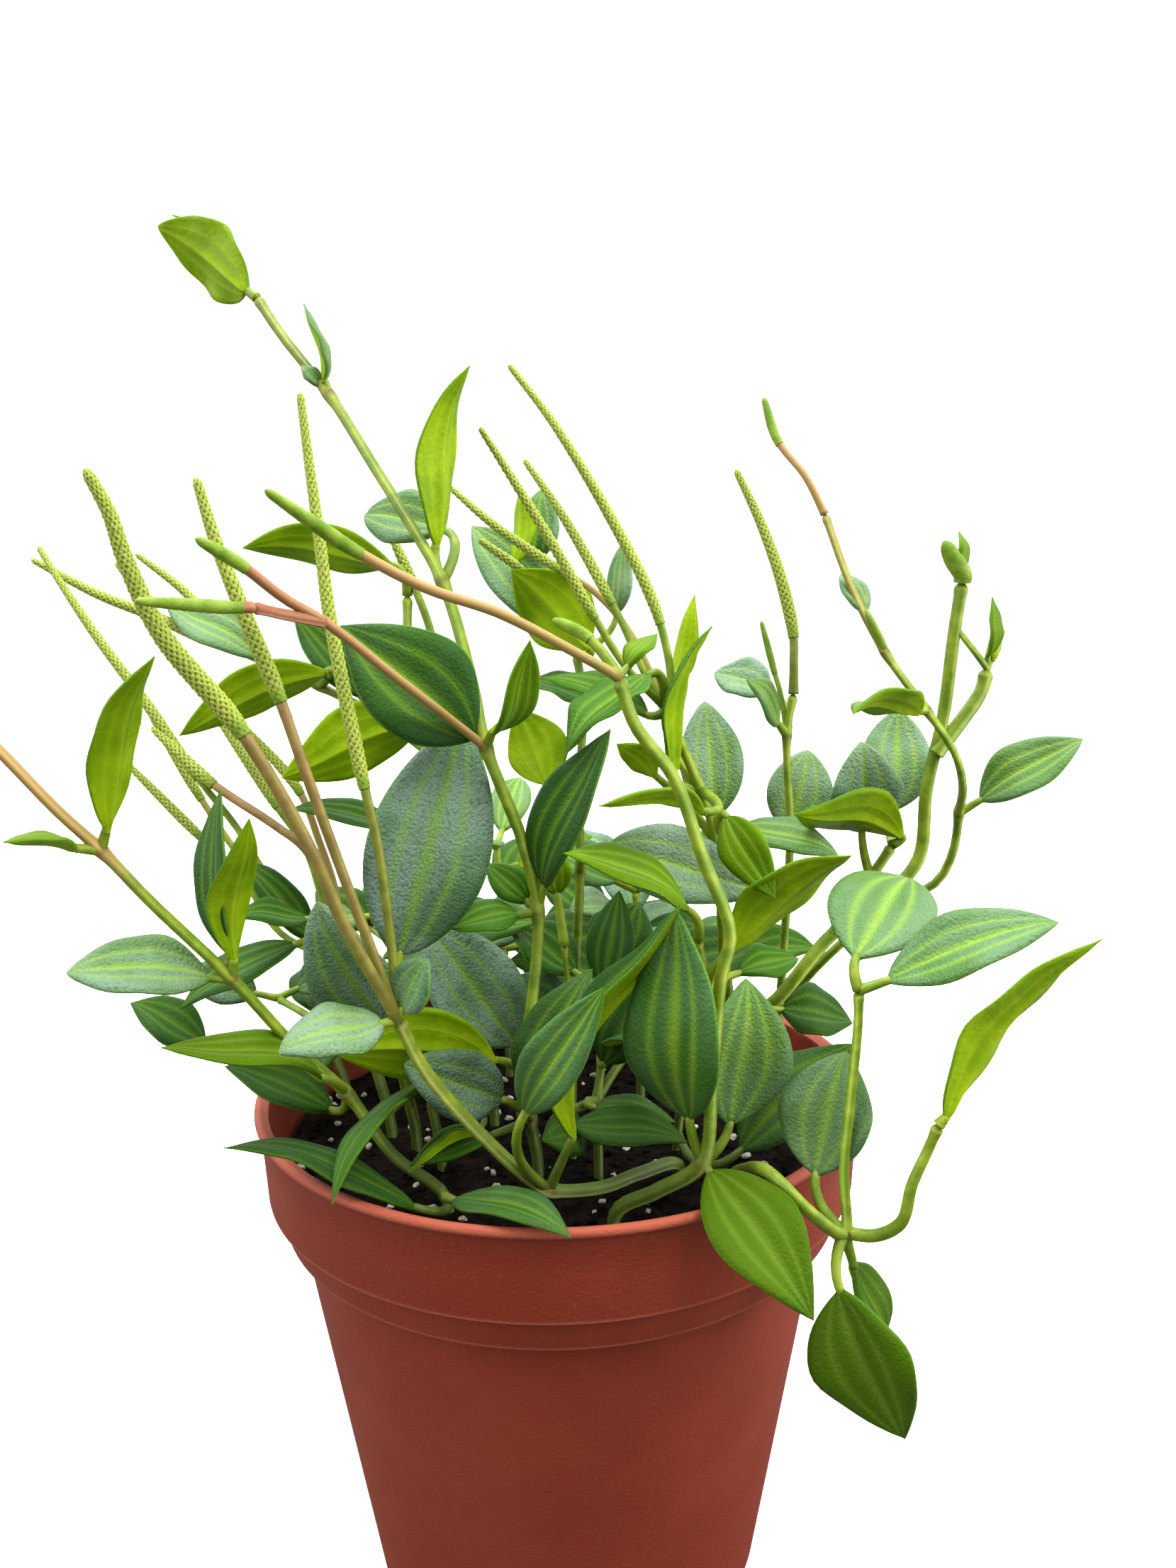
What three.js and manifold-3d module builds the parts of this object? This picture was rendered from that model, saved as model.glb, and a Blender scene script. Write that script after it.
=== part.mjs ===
// A beetle peperomia in a terracotta-red nursery pot: pot, soil, and one solid for each leafy shoot.
// Millimetres, +Z up. The origin is the centre of the pot's underside, -Y is the front.
import * as THREE from "three";
import { mergeVertices } from "three/addons/utils/BufferGeometryUtils.js";
import Module from "manifold-3d";

const wasm = await Module();
wasm.setup();

// Pot
const POT_HEIGHT = 88;
const LIP_RADIUS = 52.5;
const LIP_ROLL = 1.6;
const LIP_ANGLES = [-50, 0, 45, 90];
const STEP_EASE = 0.4;
const UPPER_BAND = { top: 51.7, bottom: 50.9, step: 73 };
const LOWER_BAND = { top: 49.6, bottom: 48.4, step: 67.4 };
const BODY_TOP_RADIUS = 46;
const FOOT_RADIUS = 34.8;
const FOOT_CHAMFER = 1.2;
const POT_WALL = 1.5;
const POT_FLOOR = 2;
const POT_SIDES = 32;
const DRAIN = { count: 6, ring: 24, radius: 4, sides: 8 };

// Soil
const SOIL_TOP = 78;
const SOIL_GAP = { side: 0.5, floor: 0.3 };
const SOIL_RIM_DROP = 1.4;
// Radius and depth under the top of the filling's uneven surface.
const SOIL_RELIEF = [[44, 0.5], [36, 0.8], [24, 0.1], [12, 0.5], [0, 0]];
const SOIL_SIDES = 24;
const HOLE_GAP = 0.5;
const HOLE_BOTTOM = 69.5;
const HOLE_SIDES = 6;
const HOLE_CLEAR = 2;

// Grown parts
const FOOT_DEPTH = 70;
const COLLAR = 80;
const STEM_SIDES = 5;
const STEM_STEP = 16;
const NODE_SWELL = 1.25;
const STEM_TAPER = 0.75;
const STALK_RADIUS = 0.75;
const STALK_SHARE = 1 / 6;
const OUTLINE_SHIFT = 0.85;
const OUTLINE_FULLNESS = 0.95;
const BLADE_THICKNESS = 1.5;
const BLADE_FOLD = 0.28;
const BLADE_ARCH = 0.09;
const LARGE_BLADE = 13.2;
const SHORT_STALK = 2.5;
const SPIKE_SIDES = 6;
const SPIKE_STEP = 8.5;
const SPIKE_TAPER = 0.38;
const SPIKE_RELIEF = 0.11;
const SPIKE_TIP_SHARE = 0.55;
const PEDUNCLE_SHARE = 0.36;

const COLOURS = {
  pot: { color: 0x8f3d2c, roughness: 0.7, metalness: 0 },
  soil: { color: 0x1d1713, roughness: 1, metalness: 0 },
  leafy: { color: 0x3f6b2f, roughness: 0.45, metalness: 0 },
};

// A leaf grows from one joint of its stem's route to its tip, and face is the way its upper side looks.
// Its stalk is a length straight towards the tip, or the point where its blade starts, and fold is
// how far each half rises from flat, in radians.
function leaf(joint, tip, width, face, stalk = 4, fold = BLADE_FOLD) {
  return { joint, tip, width, face, stalk, fold };
}

// A flower spike: a bare peduncle through its points, then the grainy spike through its own.
function spike(joint, thick, peduncle, grain, ripe = true) {
  return { joint, thick, peduncle, grain, ripe };
}

// A stem with what grows from it. A foot [x, y] stands it in the soil; a branch has none.
function stem(thick, foot, route, leaves = [], spikes = []) {
  const rooted = foot ? [[...foot, FOOT_DEPTH], [...foot, COLLAR]] : [];
  return { thick, rooted: Boolean(foot), route: [...rooted, ...route], leaves, spikes };
}

// The shoots. Joints count along the route, the soil end and the collar being 0 and 1.
const SHOOTS = {
  tall_left_shoot: [
    stem(
      2.3,
      [-4, -16],
      [
        [-5, -19, 88],
        [-6, -21, 97],
        [-4, -22, 111],
        [-3, -23, 124],
        [-5, -24, 135],
        [-10, -27, 150],
        [-12, -25, 160],
        [-16, -22, 174],
        [-21, -20, 183],
        [-26, -17, 191],
        [-33, -12, 202],
        [-40, -10, 211],
        [-44, -8, 217],
      ],
      [
        leaf(2, [-23, -33, 104], 11, [0, -2, 1], [-9, -26, 95]),
        leaf(2, [5, -30, 117], 11, [-1, -2, 1], [-6, -24, 93]),
        leaf(2, [-23, -31, 87], 6, [0, -1, 2], 7),
        leaf(3, [-32, -38, 108], 14, [0, 3, 1], [-10, -25, 101]),
        leaf(3, [-21, -14, 120], 15, [0, -2, 1], [-7, -19, 101]),
        leaf(5, [8, -32, 153], 12, [-2, -2, 1], [-2, -24, 128]),
        leaf(5, [-16, -28, 123], 8, [0, -1, 2], 3),
        leaf(5, [-11, -20, 131], 6, [0, -1, 1], 2),
        leaf(7, [-30, -29, 168], 17, [0, -2, 1], 2),
        leaf(7, [-3, -40, 166], 8, [1, -1, 0], 3),
        leaf(9, [-11, -24, 204], 10, [-2, 1, 0], [-17, -21, 179]),
        leaf(9, [-29.5, -6, 184.5], 10, [0, -2, 1], [-16.5, -14, 182]),
        leaf(12, [-36, -13, 215], 4.5, [1, 0, 0], 2),
        leaf(12, [-37, -12, 206.5], 3, [0, -1, 1], 2),
        leaf(14, [-60, -2, 229], 13, [0, 1, 1], 2),
        leaf(14, [-59.5, 4, 232.5], 4, [1, 0, 1], 2),
      ],
      [
        spike(7, 1.8, [[-16, -33, 156], [-21, -38, 161], [-29, -46, 169], [-33, -50, 172]],
          [[-37, -54, 176], [-41, -58, 179]], false),
      ],
    ),
    stem(1.6, null, [[-29, -46, 169], [-33, -50, 170], [-36, -54, 171]], [], [
      spike(2, 1.7, [], [[-37.5, -55.8, 171], [-42, -60.5, 171.5], [-46, -65, 172]], false),
    ]),
  ],
  front_right_shoot: [
    stem(
      2.4,
      [8, -34],
      [
        [14, -37, 85],
        [20, -42, 92],
        [21, -44, 106],
        [22, -46, 121],
        [23, -47, 127],
        [19, -49, 138],
        [15, -51, 149],
        [10, -53, 156],
        [8, -54, 162],
      ],
      [
        leaf(3, [16, -46, 130], 15, [-2.2, -3.6, 1], [18, -43, 99]),
        leaf(3, [27, -36, 117], 15, [1, -3, 1], [24, -41, 97]),
        leaf(3, [32, -61, 79.5], 14, [0.2, -2, 1.6], 1.5),
        leaf(10, [13, -51, 167], 4, [-1, -1, 1], 1.5),
      ],
      [
        spike(10, 1.7, [[3, -57, 165], [-6, -61, 170], [-14, -65, 173]],
          [[-21, -69, 177], [-25, -72, 180], [-29, -74, 183]], false),
        spike(10, 1.8, [[6, -53, 165]], [[4, -52, 167], [0, -51, 169]], false),
      ],
    ),
  ],
  front_spike_shoot: [
    stem(
      2.3,
      [19, -20],
      [
        [12, -26, 82],
        [6, -30, 82],
        [-2, -34, 84],
        [-5, -36, 87],
        [-14, -40, 99],
        [-19, -42, 107],
        [-22, -44, 115],
      ],
      [
        leaf(4, [16.5, -46, 131], 14, [-3, 0.4, 1], [1.5, -36, 93], 0.6),
        leaf(4, [6, -50, 121], 8.5, [-1, -3, 1], [-5, -44, 101]),
        leaf(8, [-37, -50, 113], 11, [0, -1, 2], 2),
        leaf(8, [-17.5, -45.5, 124], 7.5, [-1, -1, 0], 1.5),
      ],
      [
        spike(8, 2.5, [[-28, -47, 129], [-32, -49, 141]],
          [[-39, -51.5, 156], [-47, -54, 168], [-50, -56, 177], [-51, -57, 182], [-53, -58, 187]]),
        spike(8, 2.1, [[-29, -44, 137], [-33, -45, 151]],
          [[-35.5, -45, 159.5], [-39, -46, 170], [-42, -46, 179], [-44, -46, 187]]),
        spike(8, 1.9, [[-23, -42, 128], [-24.5, -40.5, 140]],
          [[-26, -39.5, 147], [-30, -37, 170], [-31, -36, 180], [-32, -35, 189], [-33, -34, 199]]),
      ],
    ),
  ],
  large_leaf_shoot: [
    stem(2.2, [-25, -7], [[-25, -16, 92], [-25, -24, 103], [-24, -29, 118]], [
      leaf(4, [-14, -20, 153], 19, [1, -4, 2], 1.5),
      leaf(3, [-36, -26, 127], 15, [-1, -2, 1], 3),
    ]),
  ],
  trailing_left_shoot: [
    stem(
      2,
      [-18, -28],
      [
        [-26, -26, 86],
        [-33, -25, 96],
        [-39, -28, 104],
        [-47, -34, 118],
        [-56, -39, 131],
        [-61, -42, 139],
        [-65, -45, 145],
        [-70, -48, 153],
        [-75, -50, 160],
      ],
      [
        leaf(1, [-48, -40, 95], 9, [0, 0, 1], [-21, -40, 85]),
        leaf(3, [-55, -42, 111], 10, [0, -1, 3], [-36, -28, 100]),
        leaf(3, [-53, -20, 99], 9, [0, -1, 2], [-36, -22, 92]),
        leaf(5, [-48, -30, 145], 8, [-1, -1, 0], 3),
        leaf(5, [-41, -42, 143], 7, [-1, 1, 0], 3),
        leaf(5, [-67, -42, 122], 12, [0, -1, 2], 3),
        leaf(7, [-50, -48, 165], 8.5, [-2, 1, 0], 3),
        leaf(7, [-70, -50, 142], 6, [0, 0, 1], 3),
        leaf(10, [-83, -49, 171], 7, [1, 0, 1], 2),
        leaf(10, [-85, -57, 160], 7, [0, -1, 2], 2),
      ],
    ),
    stem(1.6, null, [[-18, -28, 80], [-18, -34, 84], [-17, -39, 86]], [
      leaf(2, [1, -55, 88.5], 9, [0, 0, 1], 1.5),
    ]),
  ],
  trailing_right_shoot: [
    stem(
      2.1,
      [26, -27],
      [
        [27, -37, 88],
        [29, -46, 92],
        [34, -50, 88],
        [39, -48, 84],
        [39, -47, 93],
        [40, -46, 103],
        [41, -45, 113],
        [41, -45, 118],
      ],
      [
        leaf(5, [41.5, -37, 106], 14, [-2, -3, 1], [35.5, -45, 91]),
        leaf(5, [45, -59, 60.5], 17, [-2, -1.6, 0.8], [37.5, -52, 78]),
        leaf(5, [45.5, -43, 63], 9, [2, -1, 0], 6),
        leaf(9, [52.5, -29, 129.5], 16, [-1, -2, 2], [41, -43, 122]),
        leaf(9, [66, -50, 128.5], 10.5, [0, -2, 3]),
      ],
    ),
    stem(
      1.9,
      null,
      [[39, -48, 84], [43, -49, 84], [46, -51, 87], [47, -52, 93], [49, -52, 98], [50, -53, 102]],
      [leaf(5, [69, -56, 128], 11, [-1, 2, 1], 1)],
    ),
  ],
  spike_fan_shoot: [
    stem(
      2.3,
      [30, 6],
      [[30, -2, 98], [28, -6, 113], [26, -12, 132], [23, -14, 141], [17.3, -18.2, 154.3]],
      [
        leaf(4, [25, -4, 154], 11, [0, -3, 1], 4),
        leaf(4, [46, -13, 129], 10, [0, -1, 2], [30, -11, 134]),
        leaf(4, [33, -25.5, 126], 8, [-1, -1, 1], [27, -16, 137]),
        leaf(5, [6, -38, 143], 8, [0, 1, 2], [22, -28, 140]),
        leaf(5, [23.5, -24, 167], 11, [-2, 0.6, 1], [18.5, -16, 144]),
        leaf(5, [23, -7, 171.5], 4.8, [1, 1, 0], [18, -10, 156]),
        leaf(4, [10, -10, 148], 6, [0, 1, 1], [16.5, -10, 142.5]),
        leaf(6, [1.8, -30, 149.4], 11, [-1, -1, 2], [14.5, -22, 160]),
        leaf(6, [-1.4, -14, 159], 8, [0, -1, 2], [14.5, -20, 153.5]),
      ],
      [
        spike(6, 1.7, [[18, -18, 159]],
          [[16.3, -17, 168], [14, -16, 174], [10, -14, 182], [5, -12, 191], [0, -10, 199], [-6, -8, 207]]),
        spike(6, 1.6, [[14, -17, 160], [11, -15, 167]], [[9, -14, 171], [2, -9, 184], [-4, -6, 193]]),
        spike(6, 1.6, [[11, -20, 161]], [[6, -21, 169], [1, -21, 178], [-5, -21, 188], [-10, -21, 196]]),
        spike(6, 1.55, [[12, -13, 166], [7, -10, 172]], [[1, -7, 176], [-9, -3, 183], [-17, 0, 190]]),
      ],
    ),
  ],
  single_spike_shoot: [
    stem(
      1.9,
      [40, 12],
      [[40, 6, 95], [40, 2, 110], [40, -2, 131], [39, -3, 148], [40, -3, 155]],
      [
        leaf(4, [45, 8, 144], 12, [0, -2, 1], [41, 3, 130]),
        leaf(5, [31, -10, 158], 7, [0, -1, 1], 3),
        leaf(5, [28, 6, 158], 9, [0, -1, 1], [37, 2, 155]),
      ],
      [
        spike(6, 2, [[40, -3, 160]], [[40, -2, 165], [38, -1, 174], [35, 1, 183], [31, 3, 192]]),
        spike(5, 1.2, [[38, -2, 155]], [[37, -1, 159], [35, 0, 167]], false),
      ],
    ),
  ],
  thick_right_shoot: [
    stem(
      2.6,
      [30, 24],
      [
        [33, 12, 90],
        [35, 0, 98],
        [38, -5, 103],
        [47, -5, 114],
        [56, -6, 121],
        [61, -6, 127],
        [62, -6, 139],
        [64, -7, 151],
        [65, -8, 165],
        [66, -8, 173],
      ],
      [leaf(11, [65.5, -7, 180], 2.6, [1, -1, 0], 1.5)],
      [spike(11, 2.4, [], [[66, -8.2, 174], [64, -8.5, 177], [62.5, -9, 179.5]], false)],
    ),
    stem(2.2, null, [[47, -5, 114], [53, -6, 124], [56, -8, 130]], [
      leaf(1, [50, -9, 147.5], 13, [0, -3, 1], [51, -7, 132]),
      leaf(2, [37.5, -18, 137.5], 13, [0, 1, 1], [57.5, -8.5, 131.5]),
      leaf(2, [61, 8, 151], 13, [0, -3, 1], [58, 1, 134]),
    ]),
    stem(2.8, null, [[63, -7, 145], [70, -7, 155], [71, -7, 159]], [
      leaf(2, [71, -8, 170.5], 4, [1, -1, 0], 1.5),
      leaf(2, [74, -6, 165], 4, [-1, 1, 0], 1.5),
    ]),
    stem(1.3, null, [[71, -7, 159], [68, -9, 162], [65, -8, 166]]),
  ],
  tall_right_shoot: [
    stem(
      1.8,
      [37.5, 25],
      [
        [44, 16, 95],
        [50, 9, 106],
        [59, 6, 115],
        [67, 2, 121],
        [69, 0, 127],
        [69, -2, 134],
        [67, -9, 140],
        [63, -15, 147],
        [59, -14, 153],
        [53, -11, 162],
        [48, -9, 172],
        [44, -6, 184],
      ],
      [
        leaf(7, [88, -6, 147], 10, [0, -1, 1], 4),
        leaf(10, [44, -27, 154], 10, [0, 1, 2], 2),
        leaf(11, [47, -5, 174.5], 4.5, [0, -1, 1], [50, -10, 168.5]),
      ],
      [spike(13, 1.6, [[41, -5, 190]], [[37, -2, 196], [35, 0, 203]], false)],
    ),
  ],
  left_spike_shoot: [
    stem(
      2.2,
      [-30, -2],
      [[-34, -5, 100], [-37, -8, 112]],
      [
        leaf(2, [-70, -12, 107], 9, [0, -1, 2], [-58, -13, 100]),
        leaf(3, [-59, -21, 109], 9, [0, -1, 2], [-42, -14, 117]),
        leaf(3, [-53, -9, 130], 8, [0, -1, 2], 5),
        leaf(3, [-50, -20, 123], 7, [0, -1, 2], [-40, -14, 121]),
      ],
      [
        spike(3, 1.75, [[-41, -8, 117], [-48, -6, 126], [-53, -4, 134]],
          [[-60, -2, 143], [-68, 0, 155], [-76, 2, 166], [-82, 4, 175], [-86, 6, 181]]),
        spike(3, 2.1, [[-37, -8, 120], [-41, -8, 131], [-46, -7, 135]], [[-57, -4, 142], [-67, -1, 151]]),
        spike(3, 1.7, [[-47, -4, 116], [-54, 0, 125]], [[-61, 1, 132], [-74, 4, 145]]),
        spike(3, 1.7, [[-46, 0, 118], [-55, 3, 128]], [[-62, 6, 138], [-70, 8, 152]]),
        spike(3, 1.75, [[-40, -3, 122], [-43, 0, 130]],
          [[-48, 2, 137], [-58, 8, 151], [-66, 12, 163], [-76.5, 15, 178.5]]),
        spike(3, 1.8, [[-37, -5, 122], [-40, -3, 132]], [[-43, -2, 140], [-53, 2, 151]]),
      ],
    ),
  ],
  high_left_shoot: [
    stem(
      2.2,
      [-16, 4],
      [[-18, 2, 105], [-20, -2, 130], [-21, -2, 146], [-24, 0, 160], [-24, 1, 172]],
      [
        leaf(3, [-42, -14, 139], 8, [0, -1, 2], 6),
        leaf(4, [-43, -14, 144], 13, [0, 2, 1], [-21, -10, 152]),
        leaf(6, [-50, -2, 180], 10, [0, 1, 1], [-26, 0, 177]),
      ],
      [spike(4, 1.8, [[-19, -1, 155], [-20, 0, 165]], [[-23, 1, 174], [-27, 3, 183]])],
    ),
    stem(
      1.7,
      null,
      [[-21, -2, 146], [-30, 2, 152], [-40, 4, 157], [-48, 4, 161]],
      [
        leaf(1, [-44, 6, 169], 8, [0, -1, 1], 4),
        leaf(2, [-61, -6, 150], 11, [0, 1, 1], [-37, -3, 160]),
        leaf(3, [-66, 8, 171], 10, [0, -1, 1], 2),
      ],
      [
        spike(3, 1.9, [[-53, 5, 163]], [[-59, 6, 165], [-68, 8, 169], [-78, 9, 173], [-89, 10, 179]]),
        spike(3, 1.7, [[-53, 10, 162]], [[-58, 13, 165], [-65, 16, 173], [-74, 18, 180]]),
      ],
    ),
  ],
  centre_back_shoot: [
    stem(
      2.2,
      [2, 4],
      [[3, 2, 105], [4, -2, 125], [4, -4, 140], [5, 0, 154], [4, 2, 162]],
      [
        leaf(3, [32, -18, 125], 13, [0, -2, 1], [8, -11, 131]),
        leaf(4, [-6, -8, 154], 11, [0, 2, 1], [-1, -10.5, 141.5]),
        leaf(5, [-4, -4, 158], 9, [0, -1, 2], [7, -6, 154]),
        leaf(6, [-6.5, -3, 176], 14, [0, 2, 1], [6, -2.5, 163]),
        leaf(6, [-5, 8, 190], 6.5, [2, 2, 0], [-6, 6, 177]),
        leaf(6, [-1.5, 14, 190], 8, [0, -1, 0], [-3, 12, 177.5]),
        leaf(6, [-14, 17, 184], 11, [0, -2, 1], 5),
        leaf(6, [12, 4, 180], 4.5, [0, -1, 0], [11, 3, 168.5]),
      ],
      [spike(6, 1.6, [[1, 0, 170]], [[-5, -1, 176], [-12, 0, 181]])],
    ),
  ],
  right_low_shoot: [
    stem(2, [20, -8], [[22, -12, 95], [24, -15, 108], [22, -20, 118]], [
      leaf(1, [47, -22, 101], 14, [0, -1, 2], [28, -27, 86]),
      leaf(2, [50, -8, 99], 13, [0, -1, 2], [38, -6, 101]),
      leaf(3, [44, -28, 133], 12, [0, 1, 1], [27, -20, 116]),
      leaf(3, [41, -6, 110], 8, [0, -1, 2], [30, -10, 109]),
      leaf(4, [1, -36, 136], 12, [-1, -2, 3], [20, -24, 124]),
    ]),
  ],
  centre_low_shoot: [
    stem(2, [6, -18], [[6, -16, 90], [7, -13, 98], [6, -12, 108]], [
      leaf(2, [18, -24, 89.5], 5.5, [0, -1, 2], [5, -22, 91.5]),
      leaf(2, [19.5, -28, 88], 8, [0, -1, 2], [1.5, -25, 90]),
      leaf(3, [17, -30, 106], 10, [0, -1, 2], 3),
      leaf(4, [10, -15, 125], 8, [0, -2, 1], [7, -18, 110]),
      leaf(4, [14, -4, 120], 12, [0, -1, 1], 4),
      leaf(4, [-8, -4, 116], 11, [0, -1, 2], 4),
      leaf(3, [-8, -7, 108], 9, [0, -2, 1], [2, -10, 102]),
      leaf(3, [15, -14, 110], 11, [0, -1, 1], [7, -16, 96]),
      leaf(2, [22, -2, 103], 11, [0, -2, 1], [12, -10, 96]),
      leaf(2, [-3, -29, 89.5], 8, [0, -2, 1], [3.5, -22, 88]),
    ]),
  ],
  low_front_shoot: [
    stem(2, [-20, -14], [[-21, -16, 90], [-20, -18, 97]], [
      leaf(3, [-31, -50, 91.5], 8, [-1, 0, 2], 3),
      leaf(2, [-23, -33, 87], 4.5, [0, 1, 1], [-13, -26, 90]),
      leaf(3, [-34, -10, 104], 9, [0, -1, 2], 3),
      leaf(3, [-11, -8, 104], 9, [0, -1, 2], 3),
    ]),
  ],
  slim_centre_shoot: [
    stem(1.4, [2, -10], [[2, -14, 100], [1, -18, 117]], [
      leaf(3, [-1, -16, 133], 6, [0, -1, 0], 8),
    ]),
  ],
};

// Shoots that fill the middle and close the plant behind: each leans from its foot to its crown and
// carries crossed pairs of leaves, the first pair at the bearing given in degrees.
const PAIRED_SHOOTS = {
  mid_left_shoot: { foot: [-12, 2], crown: [-17, 2, 114], bearing: 140, length: 22, pairs: 3 },
  mid_right_shoot: { foot: [15, 10], crown: [14.5, 12, 118], bearing: 6, length: 24, pairs: 3 },
  back_left_shoot: { foot: [-26, 20], crown: [-37, 30, 109], bearing: 58, length: 21, pairs: 3 },
  back_mid_left_shoot: { foot: [-10, 24], crown: [-12, 34, 122], bearing: 164, length: 25, pairs: 4 },
  back_mid_shoot: { foot: [8, 22], crown: [16, 34, 112], bearing: 50, length: 24, pairs: 4 },
  back_right_shoot: { foot: [24, 36], crown: [36, 48, 94], bearing: 60, length: 24, pairs: 2 },
  back_rim_shoot: { foot: [-6, 42], crown: [-8, 60, 94], bearing: 90, length: 24, pairs: 2 },
  left_rim_shoot: { foot: [-40, 12], crown: [-54, 20, 96], bearing: 100, length: 21, pairs: 2 },
  back_left_rim_shoot: { foot: [-28, 34], crown: [-36, 50, 98], bearing: 24, length: 22, pairs: 2 },
};
const PAIR_STEM = 2.1;
const LOWEST_PAIR = 0.4;
const STEM_BOW = 6;
const UPPER_PAIR_SHARE = 0.88;
const PAIR_LEAF_ASPECT = 0.52;
const LOWEST_RISE = 0.27;
const RISE_STEP = 0.13;
const FRONT_DROOP = 0.45;
const PAIR_FACE = [0, -0.9, 1];

function pairedStem({ foot, crown, bearing, length, pairs }) {
  const low = new THREE.Vector3(...foot, COLLAR);
  const high = new THREE.Vector3(...crown);
  const leaves = [];
  const route = [];
  for (let level = 0; level < pairs; level++) {
    const place = LOWEST_PAIR + ((1 - LOWEST_PAIR) * level) / (pairs - 1);
    const point = low.clone().lerp(high, place);
    point.z += STEM_BOW * Math.sin(Math.PI * place);
    route.push(point.toArray());
    const reach = length * UPPER_PAIR_SHARE ** level;
    for (const side of [0, 180]) {
      const angle = THREE.MathUtils.degToRad(bearing + 90 * level + side);
      const rise = LOWEST_RISE + RISE_STEP * level - FRONT_DROOP * Math.max(0, -Math.sin(angle));
      const out = new THREE.Vector3(Math.cos(angle), Math.sin(angle), rise).multiplyScalar(reach);
      leaves.push(leaf(level + 2, point.clone().add(out).toArray(), reach * PAIR_LEAF_ASPECT, PAIR_FACE));
    }
  }
  return stem(PAIR_STEM, foot, route, leaves);
}
for (const [name, plan] of Object.entries(PAIRED_SHOOTS)) SHOOTS[name] = [pairedStem(plan)];

// Meshes and solids
function toGeometry(points, triangles) {
  const geometry = new THREE.BufferGeometry();
  const flat = new Float32Array(points.flatMap((point) => point.toArray()));
  geometry.setAttribute("position", new THREE.BufferAttribute(flat, 3));
  geometry.setIndex(triangles);
  return geometry;
}

function toSolid(geometry) {
  const bare = geometry.clone();
  bare.deleteAttribute("normal");
  bare.deleteAttribute("uv");
  const merged = mergeVertices(bare, 1e-4);
  return new wasm.Manifold(
    new wasm.Mesh({
      numProp: 3,
      vertProperties: merged.attributes.position.array,
      triVerts: new Uint32Array(merged.index.array),
    }),
  );
}

function fromSolid(solid) {
  const made = solid.getMesh();
  const geometry = new THREE.BufferGeometry();
  geometry.setAttribute("position", new THREE.BufferAttribute(made.vertProperties, 3));
  geometry.setIndex(new THREE.BufferAttribute(made.triVerts, 1));
  geometry.computeVertexNormals();
  return geometry;
}

// Joins closed solids and keeps the outer skin of the largest body.
function fuse(solids) {
  const joined = solids.reduce((sum, solid) => sum.add(solid));
  const bodies = joined.decompose().sort((a, b) => b.volume() - a.volume());
  return bodies[0];
}

// A closed skin over rings of points that have the same count, with a point closing each end.
// Every second strip is split the other way, so a blade's two faces are split alike.
function loft(rings, first, last) {
  const sides = rings[0].length;
  const points = [...rings.flat(), first, last];
  const start = points.length - 2;
  const end = points.length - 1;
  const triangles = [];
  for (let side = 0; side < sides; side++) {
    const next = (side + 1) % sides;
    triangles.push(start, next, side);
    for (let ring = 0; ring + 1 < rings.length; ring++) {
      const a = ring * sides + side;
      const b = ring * sides + next;
      if (side % 2) triangles.push(a, b, a + sides, b, b + sides, a + sides);
      else triangles.push(a, b, b + sides, a, b + sides, a + sides);
    }
    const rim = (rings.length - 1) * sides;
    triangles.push(end, rim + side, rim + next);
  }
  return toSolid(toGeometry(points, triangles));
}

// A round or relieved tube through the points, each with its own radius.
function tube(points, radiusAt, sides, relief = () => 1) {
  let across = new THREE.Vector3(1, 0, 0);
  const rings = points.map((point, i) => {
    const before = points[Math.max(i - 1, 0)];
    const after = points[Math.min(i + 1, points.length - 1)];
    const along = after.clone().sub(before).normalize();
    if (i === 0 && Math.abs(along.x) > 0.9) across.set(0, 1, 0);
    across = across.clone().addScaledVector(along, -across.dot(along)).normalize();
    const other = along.clone().cross(across);
    return Array.from({ length: sides }, (_, side) => {
      const angle = (2 * Math.PI * side) / sides;
      const radius = radiusAt(i) * relief(i, side);
      return point
        .clone()
        .addScaledVector(across, radius * Math.cos(angle))
        .addScaledVector(other, radius * Math.sin(angle));
    });
  });
  return loft(rings, points[0], points[points.length - 1]);
}

// Smooth points through a route, no further apart than the step, keeping the route's own points.
function smooth(route, step) {
  const curve = new THREE.CatmullRomCurve3(
    route.map((point) => new THREE.Vector3(...point)),
    false,
    "centripetal",
  );
  const spans = route.length - 1;
  const points = [curve.getPoint(0)];
  for (let span = 0; span < spans; span++) {
    const length = curve.points[span].distanceTo(curve.points[span + 1]);
    const cuts = Math.max(1, Math.ceil(length / step));
    for (let cut = 1; cut <= cuts; cut++) points.push(curve.getPoint((span + cut / cuts) / spans));
  }
  return points;
}

function buildStem({ thick, rooted, route, leaves, spikes }) {
  const curved = smooth(rooted ? route.slice(1) : route, STEM_STEP);
  const points = rooted ? [new THREE.Vector3(...route[0]), ...curved] : curved;
  const joints = new Set([...leaves, ...spikes].map(({ joint }) => joint));
  const swollen = [...joints]
    .filter((joint) => joint > 1)
    .map((joint) => new THREE.Vector3(...route[joint]));
  const radiusAt = (i) => {
    const taper = 1 - (1 - STEM_TAPER) * (i / (points.length - 1));
    const swell = swollen.some((joint) => joint.distanceTo(points[i]) < 0.5) ? NODE_SWELL : 1;
    return (thick / 2) * taper * swell;
  };
  return tube(points, radiusAt, STEM_SIDES);
}

// Half the blade's width along its length, as a share of the greatest half width.
function outline(t) {
  return Math.sin(Math.PI * t ** OUTLINE_SHIFT) ** OUTLINE_FULLNESS;
}

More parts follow.
